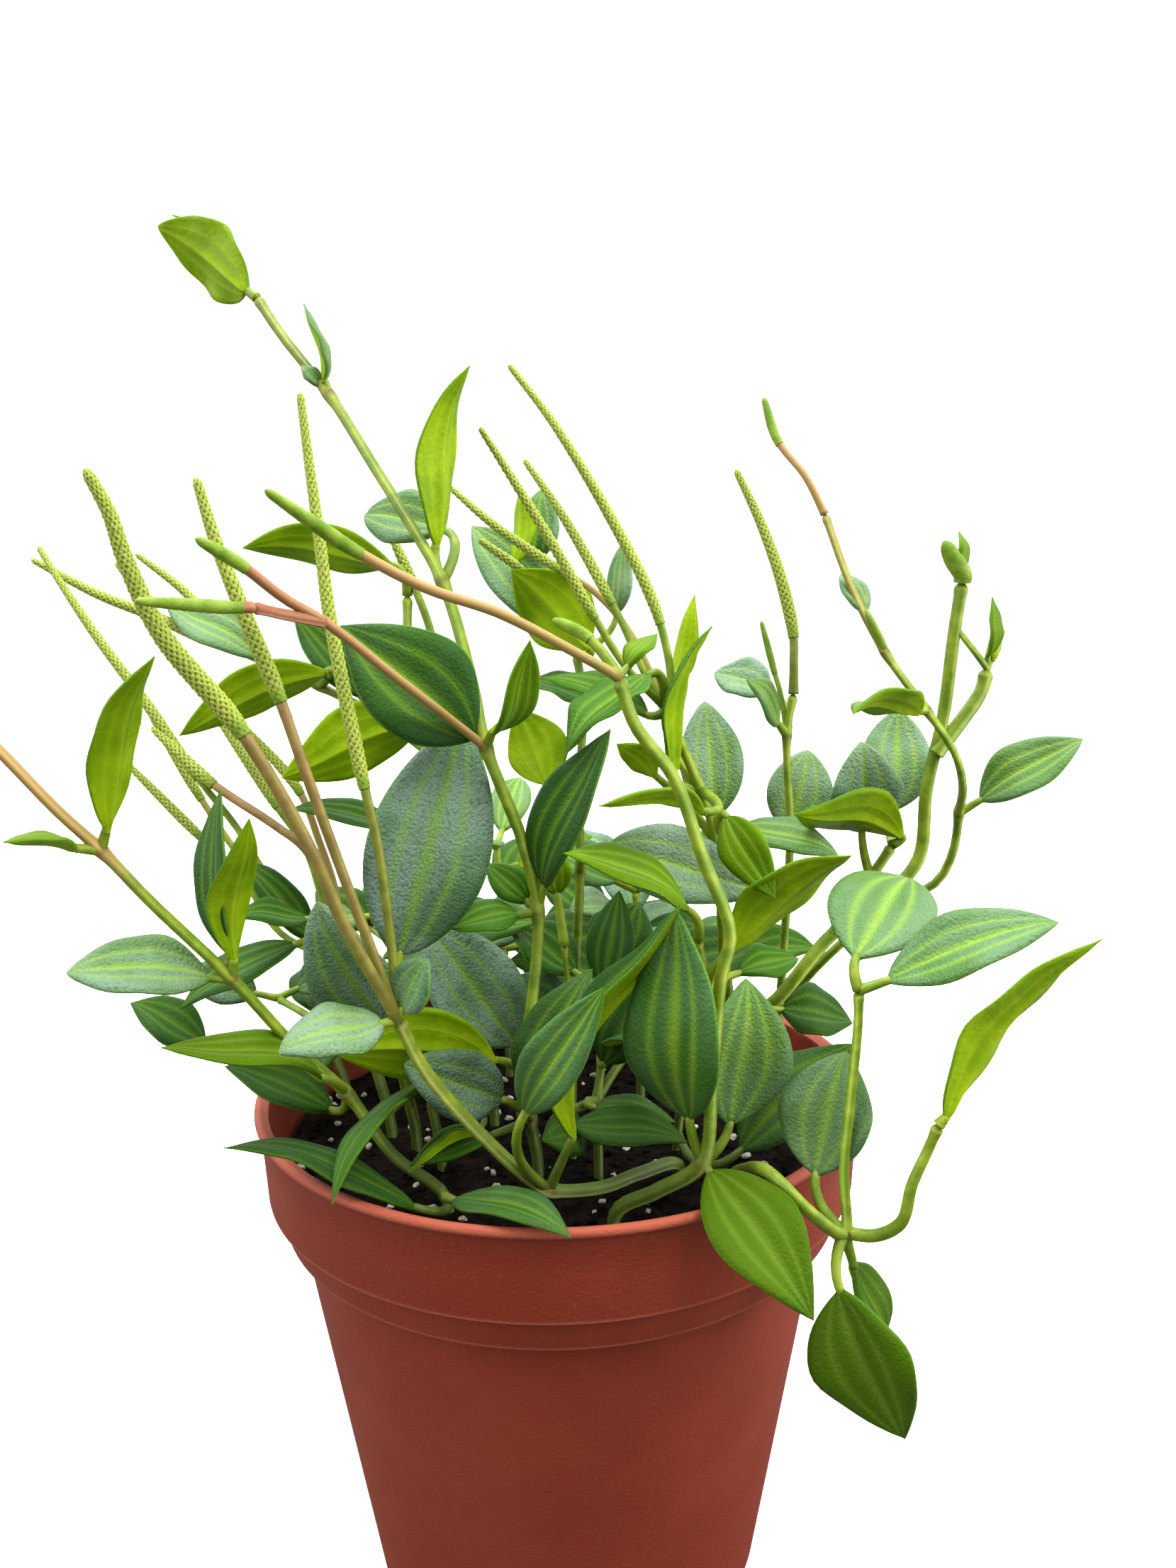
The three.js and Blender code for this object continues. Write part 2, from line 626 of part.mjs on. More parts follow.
// One skin from the stalk's root to the blade's tip: rings of edge, top, edge, underside.
// The blade is pointed, folded along its midrib and arched.
function buildLeaf({ joint, tip, width, face, stalk, fold }, route) {
  const root = new THREE.Vector3(...route[joint]);
  const end = new THREE.Vector3(...tip);
  const straight = end.clone().sub(root).normalize();
  const base = Array.isArray(stalk)
    ? new THREE.Vector3(...stalk)
    : root.clone().addScaledVector(straight, stalk);
  const along = end.clone().sub(base).normalize();
  const length = base.distanceTo(end);
  const up = new THREE.Vector3(...face);
  up.addScaledVector(along, -up.dot(along)).normalize();
  const side = along.clone().cross(up);
  const ring = (middle, spread, raised, thick) => [
    middle.clone().addScaledVector(side, -spread).addScaledVector(up, raised),
    middle.clone().addScaledVector(up, thick / 2),
    middle.clone().addScaledVector(side, spread).addScaledVector(up, raised),
    middle.clone().addScaledVector(up, -thick / 2),
  ];
  const slender = Math.min(STALK_RADIUS, width * STALK_SHARE);
  const stalkPoints = base.distanceTo(root) < SHORT_STALK ? [root] : [root, base];
  const rings = stalkPoints.map((point) => ring(point, slender, 0, 2 * slender));
  const stations = width >= LARGE_BLADE ? 4 : 3;
  for (let i = 1; i <= stations; i++) {
    const t = 0.5 - 0.5 * Math.cos((Math.PI * i) / (stations + 1));
    const half = (width / 2) * outline(t);
    const middle = base
      .clone()
      .addScaledVector(along, length * t)
      .addScaledVector(up, BLADE_ARCH * length * 4 * t * (1 - t));
    rings.push(ring(middle, half * Math.cos(fold), half * Math.sin(fold), BLADE_THICKNESS));
  }
  return loft(rings, root, end);
}

// Grains stand out in a lattice: every second corner of every second ring.
function buildSpike({ joint, thick, peduncle, grain, ripe }, route) {
  const bare = smooth([route[joint], ...peduncle, grain[0]], STEM_STEP);
  const from = bare.length - 1;
  const full = smooth([route[joint], ...peduncle, ...grain], SPIKE_STEP);
  const start = full.findIndex((point) => point.distanceTo(new THREE.Vector3(...grain[0])) < 0.01);
  const grainy = full.slice(start + 1);
  const points = [...bare, ...grainy];
  const last = points.length - 1;
  const radiusAt = (i) => {
    if (i <= from) return thick * PEDUNCLE_SHARE;
    const slimmer = 1 - SPIKE_TAPER * ((i - from) / (last - from)) ** 2;
    return (thick / 2) * slimmer * (i === last ? SPIKE_TIP_SHARE : 1);
  };
  const relief = (i, side) => (i > from && ripe ? 1 + SPIKE_RELIEF * ((i + side) % 2 ? 1 : -1) : 1);
  return tube(points, radiusAt, SPIKE_SIDES, relief);
}

function buildShoot(stems) {
  const solids = [];
  for (const plan of stems) {
    solids.push(buildStem(plan));
    for (const blade of plan.leaves) solids.push(buildLeaf(blade, plan.route));
    for (const bloom of plan.spikes) solids.push(buildSpike(bloom, plan.route));
  }
  return fuse(solids);
}

function lathe(profile, sides) {
  const points = profile.map(([r, z]) => new THREE.Vector2(r, z));
  return toSolid(new THREE.LatheGeometry(points, sides).rotateX(Math.PI / 2));
}

// Outside up from the foot, over the rolled lip, and down the inside to the floor.
function potProfile() {
  const inner = (radius) => radius - POT_WALL;
  const roll = LIP_ROLL / 2;
  const lip = LIP_ANGLES.map((degrees) => {
    const angle = THREE.MathUtils.degToRad(degrees);
    return [LIP_RADIUS - roll + roll * Math.cos(angle), POT_HEIGHT - roll + roll * Math.sin(angle)];
  });
  return [
    [0, 0],
    [FOOT_RADIUS - FOOT_CHAMFER, 0],
    [FOOT_RADIUS, FOOT_CHAMFER],
    [BODY_TOP_RADIUS, LOWER_BAND.step],
    [LOWER_BAND.bottom, LOWER_BAND.step + STEP_EASE],
    [LOWER_BAND.top, UPPER_BAND.step],
    [UPPER_BAND.bottom, UPPER_BAND.step + STEP_EASE],
    [UPPER_BAND.top, POT_HEIGHT - LIP_ROLL - STEP_EASE],
    ...lip,
    [inner(UPPER_BAND.top), POT_HEIGHT - STEP_EASE],
    [inner(LOWER_BAND.top), UPPER_BAND.step],
    [inner(BODY_TOP_RADIUS), LOWER_BAND.step],
    [inner(FOOT_RADIUS), POT_FLOOR],
    [0, POT_FLOOR],
  ];
}

function buildPot() {
  let pot = lathe(potProfile(), POT_SIDES);
  for (let i = 0; i < DRAIN.count; i++) {
    const angle = (2 * Math.PI * i) / DRAIN.count;
    const cutter = new THREE.CylinderGeometry(DRAIN.radius, DRAIN.radius, 3 * POT_FLOOR, DRAIN.sides)
      .rotateX(Math.PI / 2)
      .translate(DRAIN.ring * Math.cos(angle), DRAIN.ring * Math.sin(angle), POT_FLOOR / 2);
    pot = pot.subtract(toSolid(cutter));
  }
  return pot;
}

// The filling follows the wall's inside with a small gap, and each shoot's foot stands in a plain hole.
function buildSoil() {
  const wallAt = (z) => {
    const low = { r: FOOT_RADIUS - POT_WALL, z: POT_FLOOR };
    const mid = { r: BODY_TOP_RADIUS - POT_WALL, z: LOWER_BAND.step };
    const high = { r: LOWER_BAND.top - POT_WALL, z: UPPER_BAND.step };
    const [a, b] = z < mid.z ? [low, mid] : [mid, high];
    return a.r + ((b.r - a.r) * (z - a.z)) / (b.z - a.z) - SOIL_GAP.side;
  };
  const bottom = POT_FLOOR + SOIL_GAP.floor;
  let soil = lathe(
    [
      [0, bottom],
      [wallAt(bottom), bottom],
      [wallAt(LOWER_BAND.step), LOWER_BAND.step],
      [wallAt(UPPER_BAND.step), UPPER_BAND.step],
      [wallAt(UPPER_BAND.step), SOIL_TOP - SOIL_RIM_DROP],
      ...SOIL_RELIEF.map(([radius, drop]) => [radius, SOIL_TOP - drop]),
    ],
    SOIL_SIDES,
  );
  for (const stems of Object.values(SHOOTS)) {
    const { thick, route } = stems[0];
    const [x, y] = route[0];
    const radius = thick / 2 + HOLE_GAP;
    const depth = SOIL_TOP + HOLE_CLEAR - HOLE_BOTTOM;
    const cutter = new THREE.CylinderGeometry(radius, radius, depth, HOLE_SIDES)
      .rotateX(Math.PI / 2)
      .translate(x, y, HOLE_BOTTOM + depth / 2);
    soil = soil.subtract(toSolid(cutter));
  }
  return soil;
}

function named(name, solid, look) {
  const mesh = new THREE.Mesh(fromSolid(solid), new THREE.MeshStandardMaterial(look));
  mesh.name = name;
  return mesh;
}

const plant = new THREE.Group();
plant.name = "potted_beetle_peperomia";
plant.add(named("pot", buildPot(), COLOURS.pot));
plant.add(named("soil", buildSoil(), COLOURS.soil));
for (const [name, stems] of Object.entries(SHOOTS)) {
  plant.add(named(name, buildShoot(stems), COLOURS.leafy));
}

export default plant;
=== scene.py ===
"""A beetle peperomia in a terracotta-red nursery pot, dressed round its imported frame.

The tables hold millimetres in the frame's own axes, and MM turns them into metres. The pot and
the soil are modelled on their own. Each leafy shoot is one piece, made of stems, leaves with
their stalks, and flower spikes, which are all copies of a few models that are shaped once.
"""

import logging
import math
import random
from collections.abc import Callable, Iterable, Sequence
from dataclasses import dataclass, field
from enum import Enum

import bmesh
import bpy
import numpy as np
from mathutils import Matrix, Vector


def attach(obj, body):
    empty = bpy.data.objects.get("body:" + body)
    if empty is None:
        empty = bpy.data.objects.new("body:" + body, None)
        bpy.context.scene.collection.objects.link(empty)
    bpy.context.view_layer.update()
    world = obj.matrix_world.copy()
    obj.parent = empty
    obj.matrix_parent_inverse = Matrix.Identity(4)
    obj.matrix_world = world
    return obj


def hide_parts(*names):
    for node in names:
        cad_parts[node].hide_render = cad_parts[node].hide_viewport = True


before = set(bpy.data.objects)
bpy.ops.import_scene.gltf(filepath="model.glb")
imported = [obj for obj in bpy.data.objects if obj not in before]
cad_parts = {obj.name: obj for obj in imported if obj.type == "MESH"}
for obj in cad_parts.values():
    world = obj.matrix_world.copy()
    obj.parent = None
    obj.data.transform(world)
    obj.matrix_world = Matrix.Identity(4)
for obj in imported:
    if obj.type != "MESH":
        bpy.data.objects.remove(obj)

log = logging.getLogger("peperomia")

MM = 0.001
FULL_TURN = 2 * math.pi
BODY = "root"
FOLIAGE, PLASTIC, SOIL = "foliage", "pot_plastic", "potting_soil"

# Heights of a stem's foot in the soil and of its collar, and the parts of a route's span.
FOOT_DEPTH = 70
COLLAR = 80
CUTS = 16

# A Ramp is what Sketch.span takes after its value, and a Noise what Sketch.unsettle takes.
Pair = tuple[float, float]
Point = tuple[float, float, float]
Colour = tuple[float, float, float]
Ramp = tuple[float, ...]
Noise = tuple[float, ...]
Depth = tuple[float, Colour, float]
Inputs = dict[str | int, object]
Piece = bpy.types.Object
Material = bpy.types.Material
Tree = bpy.types.NodeTree
Node = bpy.types.Node
Socket = bpy.types.NodeSocket


class Look(Enum):
    """How a leaf's upper side looks: its tone from dark to fresh, its painted sky sheen and its
    stripe strength.
    """

    DARK = (0.12, 0.08, 0.55)
    MEDIUM = (0.42, 0.05, 0.60)
    STRIPED = (0.32, 0.18, 0.95)
    FROSTED = (0.20, 0.72, 0.85)
    PALE = (0.72, 0.70, 0.85)
    LIGHT = (0.68, 0.32, 0.90)
    BRIGHT = (0.85, 0.00, 0.60)
    DEEP = (0.80, 0.00, 0.70)


DARK, MEDIUM, STRIPED, FROSTED, PALE, LIGHT, BRIGHT, DEEP = Look


@dataclass(frozen=True)
class Leaf:
    """One leaf: the stem's joint it grows from, its tip, its width and the way its top faces.

    The stalk is its length towards the tip, or the point where the blade starts. The fold is how
    far each half rises from flat, in radians. A blunt leaf has rounder ends.
    """

    joint: int
    tip: Point
    width: float
    face: Point
    stalk: float | Point
    look: Look
    fold: float = 0.28
    blunt: float = 0


@dataclass(frozen=True)
class Spike:
    """One flower spike: a bare peduncle through its points, then the grainy part through more."""

    joint: int
    thick: float
    peduncle: tuple[Point, ...]
    grain: tuple[Point, ...]
    ripe: bool
    blush: float


@dataclass(frozen=True)
class Stem:
    """A stem with what grows from it. A foot (x, y) stands it in the soil; a side stem has none.

    Blush says how tan or red the skin is from one joint to the next, as (joint, amount) pairs.
    """

    thick: float
    foot: Pair | None
    points: tuple[Point, ...]
    leaves: tuple[Leaf, ...] = ()
    spikes: tuple[Spike, ...] = ()
    blush: tuple[tuple[int, float], ...] = ((0, 0.03), (1, 0.03))

    @property
    def route(self) -> list[Point]:
        """The joints' places, the soil end and the collar first where the stem has a foot."""
        rooted = [(*self.foot, FOOT_DEPTH), (*self.foot, COLLAR)] if self.foot else []
        return [*rooted, *self.points]


SHOOTS: dict[str, list[Stem]] = {
    "tall_left_shoot": [Stem(2.3, (-4, -16), ((-5, -19, 88), (-6, -21, 97), (-4, -22, 111),
        (-3, -23, 124), (-5, -24, 135), (-10, -27, 150), (-12, -25, 160), (-16, -22, 174),
        (-21, -20, 183), (-26, -17, 191), (-33, -12, 202), (-40, -10, 211), (-44, -8, 217)), (
        Leaf(2, (-23, -33, 104), 11, (0, -2, 1), (-9, -26, 95), FROSTED),
        Leaf(2, (5, -30, 117), 11, (-1, -2, 1), (-6, -24, 93), STRIPED),
        Leaf(2, (-23, -31, 87), 6, (0, -1, 2), 7, MEDIUM),
        Leaf(3, (-32, -38, 108), 14, (0, 3, 1), (-10, -25, 101), MEDIUM),
        Leaf(3, (-21, -14, 120), 15, (0, -2, 1), (-7, -19, 101), FROSTED),
        Leaf(5, (8, -32, 153), 12, (-2, -2, 1), (-2, -24, 128), DARK),
        Leaf(5, (-16, -28, 123), 8, (0, -1, 2), 3, MEDIUM),
        Leaf(5, (-11, -20, 131), 6, (0, -1, 1), 2, MEDIUM),
        Leaf(7, (-30, -29, 168), 17, (0, -2, 1), 2, DARK),
        Leaf(7, (-3, -40, 166), 8, (1, -1, 0), 3, BRIGHT),
        Leaf(9, (-11, -24, 204), 10, (-2, 1, 0), (-17, -21, 179), BRIGHT),
        Leaf(9, (-29.5, -6, 184.5), 10, (0, -2, 1), (-16.5, -14, 182), LIGHT),
        Leaf(12, (-36, -13, 215), 4.5, (1, 0, 0), 2, LIGHT),
        Leaf(12, (-37, -12, 206.5), 3, (0, -1, 1), 2, LIGHT),
        Leaf(14, (-60, -2, 229), 12, (0.2, 1, 0.6), 2, BRIGHT, blunt=0.7),
        Leaf(14, (-59.5, 4, 232.5), 4, (1, 0, 1), 2, BRIGHT),
    ), (
        Spike(7, 1.8, ((-16, -33, 156), (-21, -38, 161), (-29, -46, 169), (-33, -50, 172)),
              ((-37, -54, 176), (-41, -58, 179)), False, 0.64),
    ), ((0, 0.05), (11, 0.12), (12, 0.22), (14, 0.2))),
    Stem(1.6, None, ((-29, -46, 169), (-33, -50, 170), (-36, -54, 171)), (), (
        Spike(2, 1.7, (), ((-37.5, -55.8, 171), (-42, -60.5, 171.5), (-46, -65, 172)), False, 0.9),
    ), ((0, 0.85), (2, 0.9)))],
    "front_right_shoot": [Stem(2.4, (8, -34), ((14, -37, 85), (20, -42, 92), (21, -44, 106),
        (22, -46, 121), (23, -47, 127), (19, -49, 138), (15, -51, 149), (10, -53, 156),
        (8, -54, 162)), (
        Leaf(3, (16, -46, 130), 15, (-2.2, -3.6, 1), (18, -43, 99), STRIPED),
        Leaf(3, (27, -36, 117), 15, (1, -3, 1), (24, -41, 97), LIGHT),
        Leaf(3, (32, -61, 79.5), 13, (0.2, -2, 1.6), 1.5, DEEP),
        Leaf(10, (13, -51, 167), 4, (-1, -1, 1), 1.5, BRIGHT),
    ), (
        Spike(10, 1.7, ((3, -57, 165), (-6, -61, 170), (-14, -65, 173)),
              ((-21, -69, 177), (-25, -72, 180), (-29, -74, 183)), False, 0.45),
        Spike(10, 1.8, ((6, -53, 165),), ((4, -52, 167), (0, -51, 169)), False, 0.1),
    ), ((0, 0.05), (10, 0.12)))],
    "front_spike_shoot": [Stem(2.3, (19, -20), ((12, -26, 82), (6, -30, 82), (-2, -34, 84),
        (-5, -36, 87), (-14, -40, 99), (-19, -42, 107), (-22, -44, 115)), (
        Leaf(4, (16.5, -46, 131), 14, (-3, 0.4, 1), (1.5, -36, 93), DARK, 0.6),
        Leaf(4, (6, -50, 121), 8.5, (-1, -3, 1), (-5, -44, 101), STRIPED),
        Leaf(8, (-37, -50, 113), 11, (0, -1, 2), 2, PALE),
        Leaf(8, (-17.5, -45.5, 124), 7.5, (-1, -1, 0), 1.5, FROSTED),
    ), (
        Spike(8, 2.5, ((-28, -47, 129), (-32, -49, 141)),
              ((-39, -51.5, 156), (-47, -54, 168), (-50, -56, 177), (-51, -57, 182),
               (-53, -58, 187)), True, 0.3),
        Spike(8, 2.1, ((-29, -44, 137), (-33, -45, 151)),
              ((-35.5, -45, 159.5), (-39, -46, 170), (-42, -46, 179), (-44, -46, 187)),
              True, 0.32),
        Spike(8, 1.9, ((-23, -42, 128), (-24.5, -40.5, 140)),
              ((-26, -39.5, 147), (-30, -37, 170), (-31, -36, 180), (-32, -35, 189),
               (-33, -34, 199)), True, 0.05),
    ), ((0, 0.05), (8, 0.2)))],
    "large_leaf_shoot": [Stem(2.2, (-25, -7), ((-25, -16, 92), (-25, -24, 103), (-24, -29, 118)), (
        Leaf(4, (-14, -20, 153), 19, (1, -4, 2), 1.5, FROSTED),
        Leaf(3, (-36, -26, 127), 15, (-1, -2, 1), 3, FROSTED),
    ))],
    "trailing_left_shoot": [Stem(2, (-18, -28), ((-26, -26, 86), (-33, -25, 96),
        (-39, -28, 104), (-47, -34, 118), (-56, -39, 131), (-61, -42, 139), (-65, -45, 145),
        (-70, -48, 153), (-75, -50, 160)), (
        Leaf(1, (-48, -40, 95), 9, (0, 0, 1), (-21, -40, 85), DARK),
        Leaf(3, (-55, -42, 111), 10, (0, -1, 3), (-36, -28, 100), BRIGHT),
        Leaf(3, (-53, -20, 99), 9, (0, -1, 2), (-36, -22, 92), DARK),
        Leaf(5, (-48, -30, 145), 8, (-1, -1, 0), 3, DARK),
        Leaf(5, (-41, -42, 143), 7, (-1, 1, 0), 3, MEDIUM),
        Leaf(5, (-67, -42, 122), 12, (0, -1, 2), 3, PALE),
        Leaf(7, (-50, -48, 165), 8.5, (-2, 1, 0), 3, BRIGHT),
        Leaf(7, (-70, -50, 142), 6, (0, 0, 1), 3, BRIGHT),
        Leaf(10, (-83, -49, 171), 7, (1, 0, 1), 2, MEDIUM),
        Leaf(10, (-85, -57, 160), 7, (0, -1, 2), 2, MEDIUM),
    ), (
    ), ((0, 0.05), (6, 0.1), (7, 0.4), (10, 0.6))),
    Stem(1.6, None, ((-18, -28, 80), (-18, -34, 84), (-17, -39, 86)), (
        Leaf(2, (1, -55, 88.5), 9, (0, 0, 1), 1.5, STRIPED),
    ))],
    "trailing_right_shoot": [Stem(2.1, (26, -27), ((27, -37, 88), (29, -46, 92), (34, -50, 88),
        (39, -48, 84), (39, -47, 93), (40, -46, 103), (41, -45, 113), (41, -45, 118)), (
        Leaf(5, (41.5, -37, 106), 14, (-2, -3, 1), (35.5, -45, 91), LIGHT),
        Leaf(5, (45, -59, 60.5), 17, (-2, -1.6, 0.8), (37.5, -52, 78), DEEP),
        Leaf(5, (45.5, -43, 63), 9, (2, -1, 0), 6, DEEP),
        Leaf(9, (52.5, -29, 129.5), 16, (-1, -2, 2), (41, -43, 122), LIGHT),
        Leaf(9, (66, -50, 128.5), 10.5, (0, -2, 3), 4, LIGHT),
    )),
    Stem(1.9, None, ((39, -48, 84), (43, -49, 84), (46, -51, 87), (47, -52, 93), (49, -52, 98),
        (50, -53, 102)), (
        Leaf(5, (69, -56, 128), 11, (-1, 2, 1), 1, BRIGHT),
    ))],
    "spike_fan_shoot": [Stem(2.3, (30, 6), ((30, -2, 98), (28, -6, 113), (26, -12, 132),
        (23, -14, 141), (17.3, -18.2, 154.3)), (
        Leaf(4, (25, -4, 154), 11, (0, -3, 1), 4, PALE),
        Leaf(4, (46, -13, 129), 10, (0, -1, 2), (30, -11, 134), LIGHT),
        Leaf(4, (33, -25.5, 126), 8, (-1, -1, 1), (27, -16, 137), BRIGHT),
        Leaf(5, (6, -38, 143), 8, (0, 1, 2), (22, -28, 140), BRIGHT),
        Leaf(5, (23.5, -24, 167), 11, (-2, 0.6, 1), (18.5, -16, 144), MEDIUM),
        Leaf(5, (23, -7, 171.5), 4.8, (1, 1, 0), (18, -10, 156), BRIGHT),
        Leaf(4, (10, -10, 148), 6, (0, 1, 1), (16.5, -10, 142.5), BRIGHT),
        Leaf(6, (1.8, -30, 149.4), 11, (-1, -1, 2), (14.5, -22, 160), MEDIUM),
        Leaf(6, (-1.4, -14, 159), 8, (0, -1, 2), (14.5, -20, 153.5), MEDIUM),
    ), (
        Spike(6, 1.7, ((18, -18, 159),),
              ((16.3, -17, 168), (14, -16, 174), (10, -14, 182), (5, -12, 191), (0, -10, 199),
               (-6, -8, 207)), True, 0.05),
        Spike(6, 1.6, ((14, -17, 160), (11, -15, 167)),
              ((9, -14, 171), (2, -9, 184), (-4, -6, 193)), True, 0.1),
        Spike(6, 1.6, ((11, -20, 161),),
              ((6, -21, 169), (1, -21, 178), (-5, -21, 188), (-10, -21, 196)), True, 0.1),
        Spike(6, 1.55, ((12, -13, 166), (7, -10, 172)),
              ((1, -7, 176), (-9, -3, 183), (-17, 0, 190)), True, 0.35),
    ), ((0, 0.05), (6, 0.1)))],
    "single_spike_shoot": [Stem(1.9, (40, 12), ((40, 6, 95), (40, 2, 110), (40, -2, 131),
        (39, -3, 148), (40, -3, 155)), (
        Leaf(4, (45, 8, 144), 12, (0, -2, 1), (41, 3, 130), PALE),
        Leaf(5, (31, -10, 158), 7, (0, -1, 1), 3, LIGHT),
        Leaf(5, (28, 6, 158), 9, (0, -1, 1), (37, 2, 155), PALE),
    ), (
        Spike(6, 2, ((40, -3, 160),),
              ((40, -2, 165), (38, -1, 174), (35, 1, 183), (31, 3, 192)), True, 0.05),
        Spike(5, 1.2, ((38, -2, 155),), ((37, -1, 159), (35, 0, 167)), False, 0.1),
    ), ((0, 0.05), (6, 0.05)))],
    "thick_right_shoot": [Stem(2.6, (30, 24), ((33, 12, 90), (35, 0, 98), (38, -5, 103),
        (47, -5, 114), (56, -6, 121), (61, -6, 127), (62, -6, 139), (64, -7, 151),
        (65, -8, 165), (66, -8, 173)), (
        Leaf(11, (65.5, -7, 181), 3.6, (1, -1, 0), 1.5, BRIGHT),
    ), (
        Spike(11, 3.3, (), ((66, -8.2, 174), (64, -8.5, 177), (62.5, -9, 179.5)), False, 0.0),
    )),
    Stem(2.2, None, ((47, -5, 114), (53, -6, 124), (56, -8, 130)), (
        Leaf(1, (50, -9, 147.5), 13, (0, -3, 1), (51, -7, 132), PALE),
        Leaf(2, (37.5, -18, 137.5), 13, (0, 1, 1), (57.5, -8.5, 131.5), MEDIUM),
        Leaf(2, (61, 8, 151), 13, (0, -3, 1), (58, 1, 134), PALE),
    )),
    Stem(2.8, None, ((63, -7, 145), (70, -7, 155), (71, -7, 159)), (
        Leaf(2, (71, -8, 170.5), 4, (1, -1, 0), 1.5, BRIGHT),
        Leaf(2, (74, -6, 165), 4, (-1, 1, 0), 1.5, BRIGHT),
    )),
    Stem(1.3, None, ((71, -7, 159), (68, -9, 162), (65, -8, 166)), (
    ))],
    "tall_right_shoot": [Stem(1.8, (37.5, 25), ((44, 16, 95), (50, 9, 106), (59, 6, 115),
        (67, 2, 121), (69, 0, 127), (69, -2, 134), (67, -9, 140), (63, -15, 147),
        (59, -14, 153), (53, -11, 162), (48, -9, 172), (44, -6, 184)), (
        Leaf(7, (88, -6, 147), 10, (0, -1, 1), 4, LIGHT),
        Leaf(10, (44, -27, 154), 10, (0, 1, 2), 2, BRIGHT),
        Leaf(11, (47, -5, 174.5), 4.5, (0, -1, 1), (50, -10, 168.5), PALE),
    ), (
        Spike(13, 1.6, ((41, -5, 190),), ((37, -2, 196), (35, 0, 203)), False, 0.55),
    ), ((0, 0.05), (9, 0.1), (12, 0.3)))],
    "left_spike_shoot": [Stem(2.2, (-30, -2), ((-34, -5, 100), (-37, -8, 112)), (
        Leaf(2, (-70, -12, 107), 9, (0, -1, 2), (-58, -13, 100), DARK),
        Leaf(3, (-59, -21, 109), 9, (0, -1, 2), (-42, -14, 117), DARK),
        Leaf(3, (-53, -9, 130), 8, (0, -1, 2), 5, DARK),
        Leaf(3, (-50, -20, 123), 7, (0, -1, 2), (-40, -14, 121), DARK),
    ), (
        Spike(3, 1.75, ((-41, -8, 117), (-48, -6, 126), (-53, -4, 134)),
              ((-60, -2, 143), (-68, 0, 155), (-76, 2, 166), (-82, 4, 175), (-86, 6, 181)),
              True, 0.12),
        Spike(3, 2.1, ((-37, -8, 120), (-41, -8, 131), (-46, -7, 135)),
              ((-57, -4, 142), (-67, -1, 151)), True, 0.4),
        Spike(3, 1.7, ((-47, -4, 116), (-54, 0, 125)),
              ((-61, 1, 132), (-74, 4, 145)), True, 0.12),
        Spike(3, 1.7, ((-46, 0, 118), (-55, 3, 128)),
              ((-62, 6, 138), (-70, 8, 152)), True, 0.2),
        Spike(3, 1.75, ((-40, -3, 122), (-43, 0, 130)),
              ((-48, 2, 137), (-58, 8, 151), (-66, 12, 163), (-76.5, 15, 178.5)), True, 0.1),
        Spike(3, 1.8, ((-37, -5, 122), (-40, -3, 132)),
              ((-43, -2, 140), (-53, 2, 151)), True, 0.35),
    ), ((0, 0.05), (3, 0.1)))],
    "high_left_shoot": [Stem(2.2, (-16, 4), ((-18, 2, 105), (-20, -2, 130), (-21, -2, 146),
        (-24, 0, 160), (-24, 1, 172)), (
        Leaf(3, (-42, -14, 139), 8, (0, -1, 2), 6, DARK),
        Leaf(4, (-43, -14, 144), 13, (0, 2, 1), (-21, -10, 152), BRIGHT),
        Leaf(6, (-50, -2, 180), 10, (0, 1, 1), (-26, 0, 177), BRIGHT),
    ), (
        Spike(4, 1.8, ((-19, -1, 155), (-20, 0, 165)),
              ((-23, 1, 174), (-27, 3, 183)), True, 0.1),
    ), ((0, 0.05), (6, 0.1))),
    Stem(1.7, None, ((-21, -2, 146), (-30, 2, 152), (-40, 4, 157), (-48, 4, 161)), (
        Leaf(1, (-44, 6, 169), 8, (0, -1, 1), 4, DARK),
        Leaf(2, (-61, -6, 150), 11, (0, 1, 1), (-37, -3, 160), BRIGHT),
        Leaf(3, (-66, 8, 171), 10, (0, -1, 1), 2, LIGHT),
    ), (
        Spike(3, 1.9, ((-53, 5, 163),),
              ((-59, 6, 165), (-68, 8, 169), (-78, 9, 173), (-89, 10, 179)), True, 0.2),
        Spike(3, 1.7, ((-53, 10, 162),),
              ((-58, 13, 165), (-65, 16, 173), (-74, 18, 180)), True, 0.2),
    ), ((0, 0.1), (3, 0.3)))],
    "centre_back_shoot": [Stem(2.2, (2, 4), ((3, 2, 105), (4, -2, 125), (4, -4, 140),
        (5, 0, 154), (4, 2, 162)), (
        Leaf(3, (32, -18, 125), 13, (0, -2, 1), (8, -11, 131), PALE),
        Leaf(4, (-6, -8, 154), 11, (0, 2, 1), (-1, -10.5, 141.5), BRIGHT),
        Leaf(5, (-4, -4, 158), 9, (0, -1, 2), (7, -6, 154), DARK),
        Leaf(6, (-6.5, -3, 176), 14, (0, 2, 1), (6, -2.5, 163), BRIGHT),
        Leaf(6, (-5, 8, 190), 6.5, (2, 2, 0), (-6, 6, 177), BRIGHT),
        Leaf(6, (-1.5, 14, 190), 8, (0, -1, 0), (-3, 12, 177.5), LIGHT),
        Leaf(6, (-14, 17, 184), 11, (0, -2, 1), 5, LIGHT),
        Leaf(6, (12, 4, 180), 4.5, (0, -1, 0), (11, 3, 168.5), PALE),
    ), (
        Spike(6, 1.6, ((1, 0, 170),), ((-5, -1, 176), (-12, 0, 181)), True, 0.05),
    ))],
    "right_low_shoot": [Stem(2, (20, -8), ((22, -12, 95), (24, -15, 108), (22, -20, 118)), (
        Leaf(1, (47, -22, 101), 14, (0, -1, 2), (28, -27, 86), STRIPED),
        Leaf(2, (50, -8, 99), 13, (0, -1, 2), (38, -6, 101), DARK),
